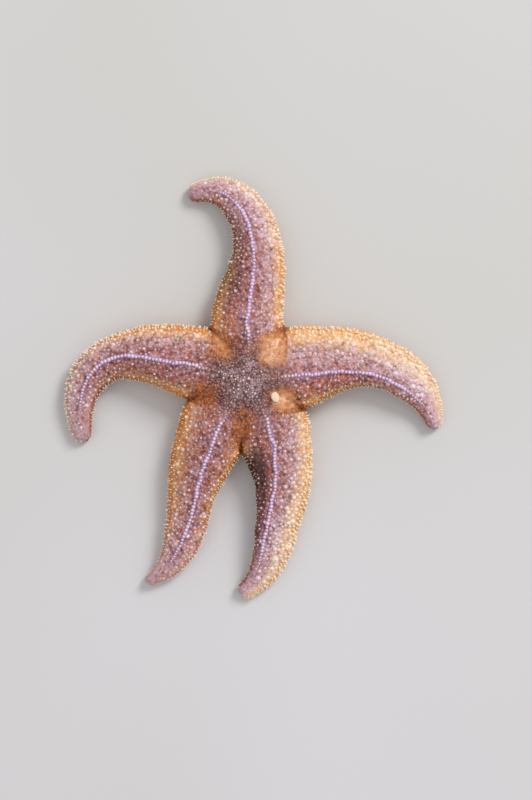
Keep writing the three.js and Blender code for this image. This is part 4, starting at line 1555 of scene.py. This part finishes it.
class STARFISH_OT_stage(bpy.types.Operator):
    """Plain floor, soft lights and a camera that looks straight down"""
    bl_idname = "starfish.stage"
    bl_label = "Stage"

    def execute(self, context):
        stage = context.scene.starfish.stage
        half = stage.floor_width / 2
        mesh = bpy.data.meshes.new("floor")
        corners = [(-half, -half, 0), (half, -half, 0), (half, half, 0), (-half, half, 0)]
        mesh.from_pydata(corners, [], [(0, 1, 2, 3)])
        floor = bpy.data.objects.new("floor", mesh)
        context.collection.objects.link(floor)
        mesh.materials.append(finish_of(stage_paint, context))
        for name, (place, width) in LAMPS.items():
            light = bpy.data.lights.new(name, "AREA")
            light.size = width
            light.energy = getattr(stage, f"{name}_power")
            lamp = bpy.data.objects.new(name, light)
            lamp.location = place
            lamp.rotation_euler = Vector(place).to_track_quat("Z", "Y").to_euler()
            context.collection.objects.link(lamp)
        world = bpy.data.worlds.new("studio")
        context.scene.world = world
        world.use_nodes = True
        sky = {"Color": (1, 1, 1, 1), "Strength": stage.sky}
        fill(world.node_tree, world.node_tree.nodes["Background"], sky)
        context.scene.view_settings.view_transform = "Standard"
        data = bpy.data.cameras.new("camera")
        data.lens = stage.lens
        data.clip_start = 0.01
        camera = bpy.data.objects.new("camera", data)
        away = stage.view_height * stage.lens / data.sensor_width
        aside = Vector((stage.view_x, stage.view_y, away + VIEW_LEVEL * MM))
        camera.location = Vector(disc_middle() * MM) + aside
        context.collection.objects.link(camera)
        context.scene.camera = camera
        return {"FINISHED"}


class STARFISH_OT_skin(bpy.types.Operator):
    """One skin over the disc and all five arms"""
    bl_idname = "starfish.skin"
    bl_label = "Skin"

    def execute(self, context):
        body = body_of(context)
        corners, places = body.faces()
        keep = corners != np.roll(corners, 1, axis=1)
        faces = [tuple(corner[kept_corner]) for corner, kept_corner in zip(corners, keep)]
        net = net_at(body, body.points) * (body.marks["around"] < 1.05)
        raised = body.points + (NET_RISE * net)[:, None] * body.normals
        skin = mesh_object("skin", raised, faces, {**body.marks, "net": net}, places[keep])
        nodes = ["disc"] + [f"{name}_{part}" for name in ARMS for part in ("base", "middle", "tip")]
        finish_piece(skin, nodes, finish_of(damp_skin, context))
        return {"FINISHED"}


def by_arm(body, spots):
    """Spots for each arm, shared out by the middle line that passes nearest to them."""
    places = spots["place"][:, None, :2]
    reaches = [
        np.linalg.norm(arm.knots[KNOTS_IN_DISC:] - places, axis=2).min(axis=1) for arm in body.arms]
    nearest = np.argmin(reaches, axis=0)
    return [picked(spots, nearest == number) for number in range(len(body.arms))]


def coat_arms(context, kind, groups, form, finish):
    """One coat piece for each arm from its group of spots, and the form is dropped afterwards."""
    for number, (arm, spots) in enumerate(zip(body_of(context).arms, groups)):
        coat_piece(kind, spots, form, finish_of(finish, context), arm, number)
    drop_forms(form)


class STARFISH_OT_spines(bpy.types.Operator):
    """Ridge rows and scattered spines of the back"""
    bl_idname = "starfish.spines"
    bl_label = "Back spines"

    def execute(self, context):
        body = body_of(context)
        coat = context.scene.starfish.coat
        finish = finish_of(lime_spine, context)
        radius, length = coat.spine_radius / MM, coat.spine_length / MM
        spine, bead = (turned_form(name, radius, length) for name in ("back_spine", "ridge_spine"))
        spots = back_spots(body)
        inside = spots["centre"] < DISC_SPINES
        coat_piece("spines_disc", picked(spots, inside), spine, finish)
        outer = by_arm(body, picked(spots, ~inside))
        for number, arm in enumerate(body.arms):
            coat_piece("spines", outer[number], spine, finish, arm, number)
            coat_piece("ridge", ridge_spots(body)[number], bead, finish, arm, number)
        drop_forms(spine, bead)
        return {"FINISHED"}


class STARFISH_OT_edge_spines(bpy.types.Operator):
    """Fringe of longer spines round the margins of the arms"""
    bl_idname = "starfish.edge_spines"
    bl_label = "Edge spines"

    def execute(self, context):
        form = turned_form("edge_spine", 1, context.scene.starfish.coat.edge_length / MM)
        coat_arms(context, "edge_spines", edge_spots(body_of(context)), form, lime_spine)
        return {"FINISHED"}


class STARFISH_OT_gills(bpy.types.Operator):
    """Soft skin gills between the spines"""
    bl_idname = "starfish.gills"
    bl_label = "Skin gills"

    def execute(self, context):
        body = body_of(context)
        coat = context.scene.starfish.coat
        form = turned_form("gill", coat.gill_radius / MM, coat.gill_length / MM)
        coat_arms(context, "gills", by_arm(body, gill_spots(body)), form, gill_skin)
        return {"FINISHED"}


class STARFISH_OT_tube_feet(bpy.types.Operator):
    """Four rows of tube feet with suckers in each groove"""
    bl_idname = "starfish.tube_feet"
    bl_label = "Tube feet"

    def execute(self, context):
        form = turned_form("tube_foot", context.scene.starfish.coat.foot_radius / MM)
        coat_arms(context, "tube_feet", foot_spots(body_of(context)), form, foot_skin)
        return {"FINISHED"}


class STARFISH_OT_groove_spines(bpy.types.Operator):
    """Spines that line the grooves and lie on the flats of the underside"""
    bl_idname = "starfish.groove_spines"
    bl_label = "Groove spines"

    def execute(self, context):
        form = turned_form("groove_spine")
        coat_arms(context, "groove_spines", under_spots(body_of(context)), form, lime_spine)
        return {"FINISHED"}


def polar_mesh(name, rings, segments, shape):
    """Closed round mesh: shape gives points for shares out from the middle and angles.

    The rings run from the pole on top to the pole underneath.
    """
    turn = 2 * math.pi * np.arange(segments) / segments
    shares = np.arange(1, rings) / rings
    top, bottom = (shape(end, turn[:1])[0] for end in (0, 1))
    points = np.concatenate(([top], *(shape(share, turn) for share in shares), [bottom]))
    last = len(points) - 1
    faces = []
    for k in range(segments):
        after = (k + 1) % segments
        faces += [(0, 1 + k, 1 + after), (last, last - segments + after, last - segments + k)]
        for ring in range(rings - 2):
            a, b = 1 + ring * segments + k, 1 + ring * segments + after
            faces.append((a, a + segments, b + segments, b))
    circle = np.stack((np.cos(turn), np.sin(turn)), axis=1)
    uv = np.concatenate(([[0, 0]], (shares[:, None, None] * circle).reshape(-1, 2), [[0, 0]]))
    corner_uv = np.array([uv[corner] * 0.48 + 0.5 for face in faces for corner in face])
    return mesh_object(name, points, faces, corner_uv=corner_uv)


class STARFISH_OT_sieve_plate(bpy.types.Operator):
    """Pale sieve plate with fine grooves that wind out from its middle"""
    bl_idname = "starfish.sieve_plate"
    bl_label = "Sieve plate"

    def execute(self, context):
        body = body_of(context)
        middle, _, top = plate_place()
        gaps = np.linalg.norm(body.points[:, :2] - middle, axis=1)
        near = (gaps < PLATE_SEAT) & (body.normals[:, 2] >= 0)
        up = unit(body.normals[near].mean(axis=0))
        foot = body.points[near].mean(axis=0)
        foot[2] = top - PLATE_CROWN - PLATE_SINK
        heading = math.radians(PLATE_HEADING)
        front = np.array([math.cos(heading), math.sin(heading), 0])
        front = unit(front - up * (front @ up))
        side = np.cross(up, front)
        length, width = PLATE_SIZE

        def shape(share, turn):
            out = min(2 * share, 1) if share <= 0.5 else 2 - 2 * share
            reach = 1 + 0.04 * np.sin(3 * turn + 1) + 0.02 * np.sin(7 * turn)
            lines = np.cos(11 * turn + 5 * out)
            if out >= 0.55:
                lines = np.cos(22 * turn + 7 * out + np.sin(5 * turn))
            rise = PLATE_CROWN * (1 - out ** 2.4) ** 0.7
            rise = rise + 0.05 * lines * ease(0.1, 0.3, out) * ease(1, 0.9, out)
            if share > 0.5:
                rise = -1.2 * (1 - out ** 2) ** 0.5 + 0 * turn
            across = out * reach * np.cos(turn) * length / 2
            aside = out * reach * np.sin(turn) * width / 2
            return foot + across[:, None] * front + aside[:, None] * side + rise[:, None] * up

        plate = polar_mesh("sieve_plate_fine", 36, 110, shape)
        finish_piece(plate, ("sieve_plate",), finish_of(sieve_plate_lime, context))
        return {"FINISHED"}


class STARFISH_OT_mouth(bpy.types.Operator):
    """Soft folded skin round a small mouth, in the bowl under the disc"""
    bl_idname = "starfish.mouth"
    bl_label = "Mouth"

    def execute(self, context):
        low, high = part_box("mouth")
        radius = (high[0] - low[0]) / 2 / MM
        floor, roof = low[2] / MM, high[2] / MM + 0.5

        def shape(share, turn):
            """From the roof's middle out over its rim, in over the lips and up into the opening."""
            folds = 0.12 * np.cos(20 * turn) + 0.05 * np.cos(5 * turn)
            marks = (0, 0.35, 0.5, 0.62, 0.75, 0.84, 0.92, 1)
            out = np.interp(share, marks, (0, 1, 1, 0.85, 0.55, 0.3, 0.22, 0)) * radius
            levels = roof, roof, roof - 0.9, floor + 0.55, floor, floor + 0.35, roof - 1, roof - 0.8
            height = np.interp(share, marks, levels)
            folded = ease(0.5, 0.65, share) * ease(0.97, 0.85, share)
            across = out * (1 + 0.4 * folds * folded)
            return np.stack((across * np.cos(turn), across * np.sin(turn), height + folds * folded), axis=1)

        lips = polar_mesh("mouth_lips", 44, 100, shape)
        finish_piece(lips, ("mouth",), finish_of(lip_skin, context))
        return {"FINISHED"}


class STARFISH_OT_eyes(bpy.types.Operator):
    """Red eyespot, a cushion of tiny eye cups, at the end of each groove"""
    bl_idname = "starfish.eyes"
    bl_label = "Eyespots"

    def execute(self, context):
        for name in ARMS:
            low, high = (np.array(corner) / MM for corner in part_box(f"{name}_eye"))
            middle = (low + high) / 2 - disc_middle()
            radius = (high[2] - low[2]) / 2

            def shape(share, turn):
                polar = math.pi * share
                cups = 0.1 * np.cos(8 * turn) * math.sin(polar) * math.cos(7 * polar)
                reach = radius * (0.96 + cups)
                level = reach * math.sin(polar)
                height = reach * math.cos(polar)
                return middle + np.stack((level * np.cos(turn), level * np.sin(turn), height), axis=1)

            eye = polar_mesh(f"{name}_eyespot", 20, 32, shape)
            finish_piece(eye, (f"{name}_eye",), finish_of(eye_cups, context))
        return {"FINISHED"}


class STARFISH_PT_panel(bpy.types.Panel):
    """Starfish panel in the sidebar"""
    bl_idname = "STARFISH_PT_panel"
    bl_label = "Starfish"
    bl_space_type = "VIEW_3D"
    bl_region_type = "UI"
    bl_category = "Starfish"

    def draw(self, context):
        for operator in OPERATORS:
            self.layout.operator(operator.bl_idname)
        for name in GROUPS:
            box = self.layout.box()
            box.label(text=titled(name))
            values = getattr(context.scene.starfish, name)
            for key in values.__annotations__:
                box.prop(values, key)


OPERATORS = (
    STARFISH_OT_stage,
    STARFISH_OT_skin,
    STARFISH_OT_spines,
    STARFISH_OT_edge_spines,
    STARFISH_OT_gills,
    STARFISH_OT_groove_spines,
    STARFISH_OT_tube_feet,
    STARFISH_OT_sieve_plate,
    STARFISH_OT_mouth,
    STARFISH_OT_eyes,
)
CLASSES = (*GROUPS.values(), Starfish, *OPERATORS, STARFISH_PT_panel)


def register():
    for cls in CLASSES:
        bpy.utils.register_class(cls)
    bpy.types.Scene.starfish = PointerProperty(type=Starfish, name="Starfish")


def unregister():
    del bpy.types.Scene.starfish
    for cls in reversed(CLASSES):
        bpy.utils.unregister_class(cls)


def main():
    register()
    for operator in OPERATORS:
        group, name = operator.bl_idname.split(".")
        getattr(getattr(bpy.ops, group), name)()


if __name__ == "__main__":
    main()
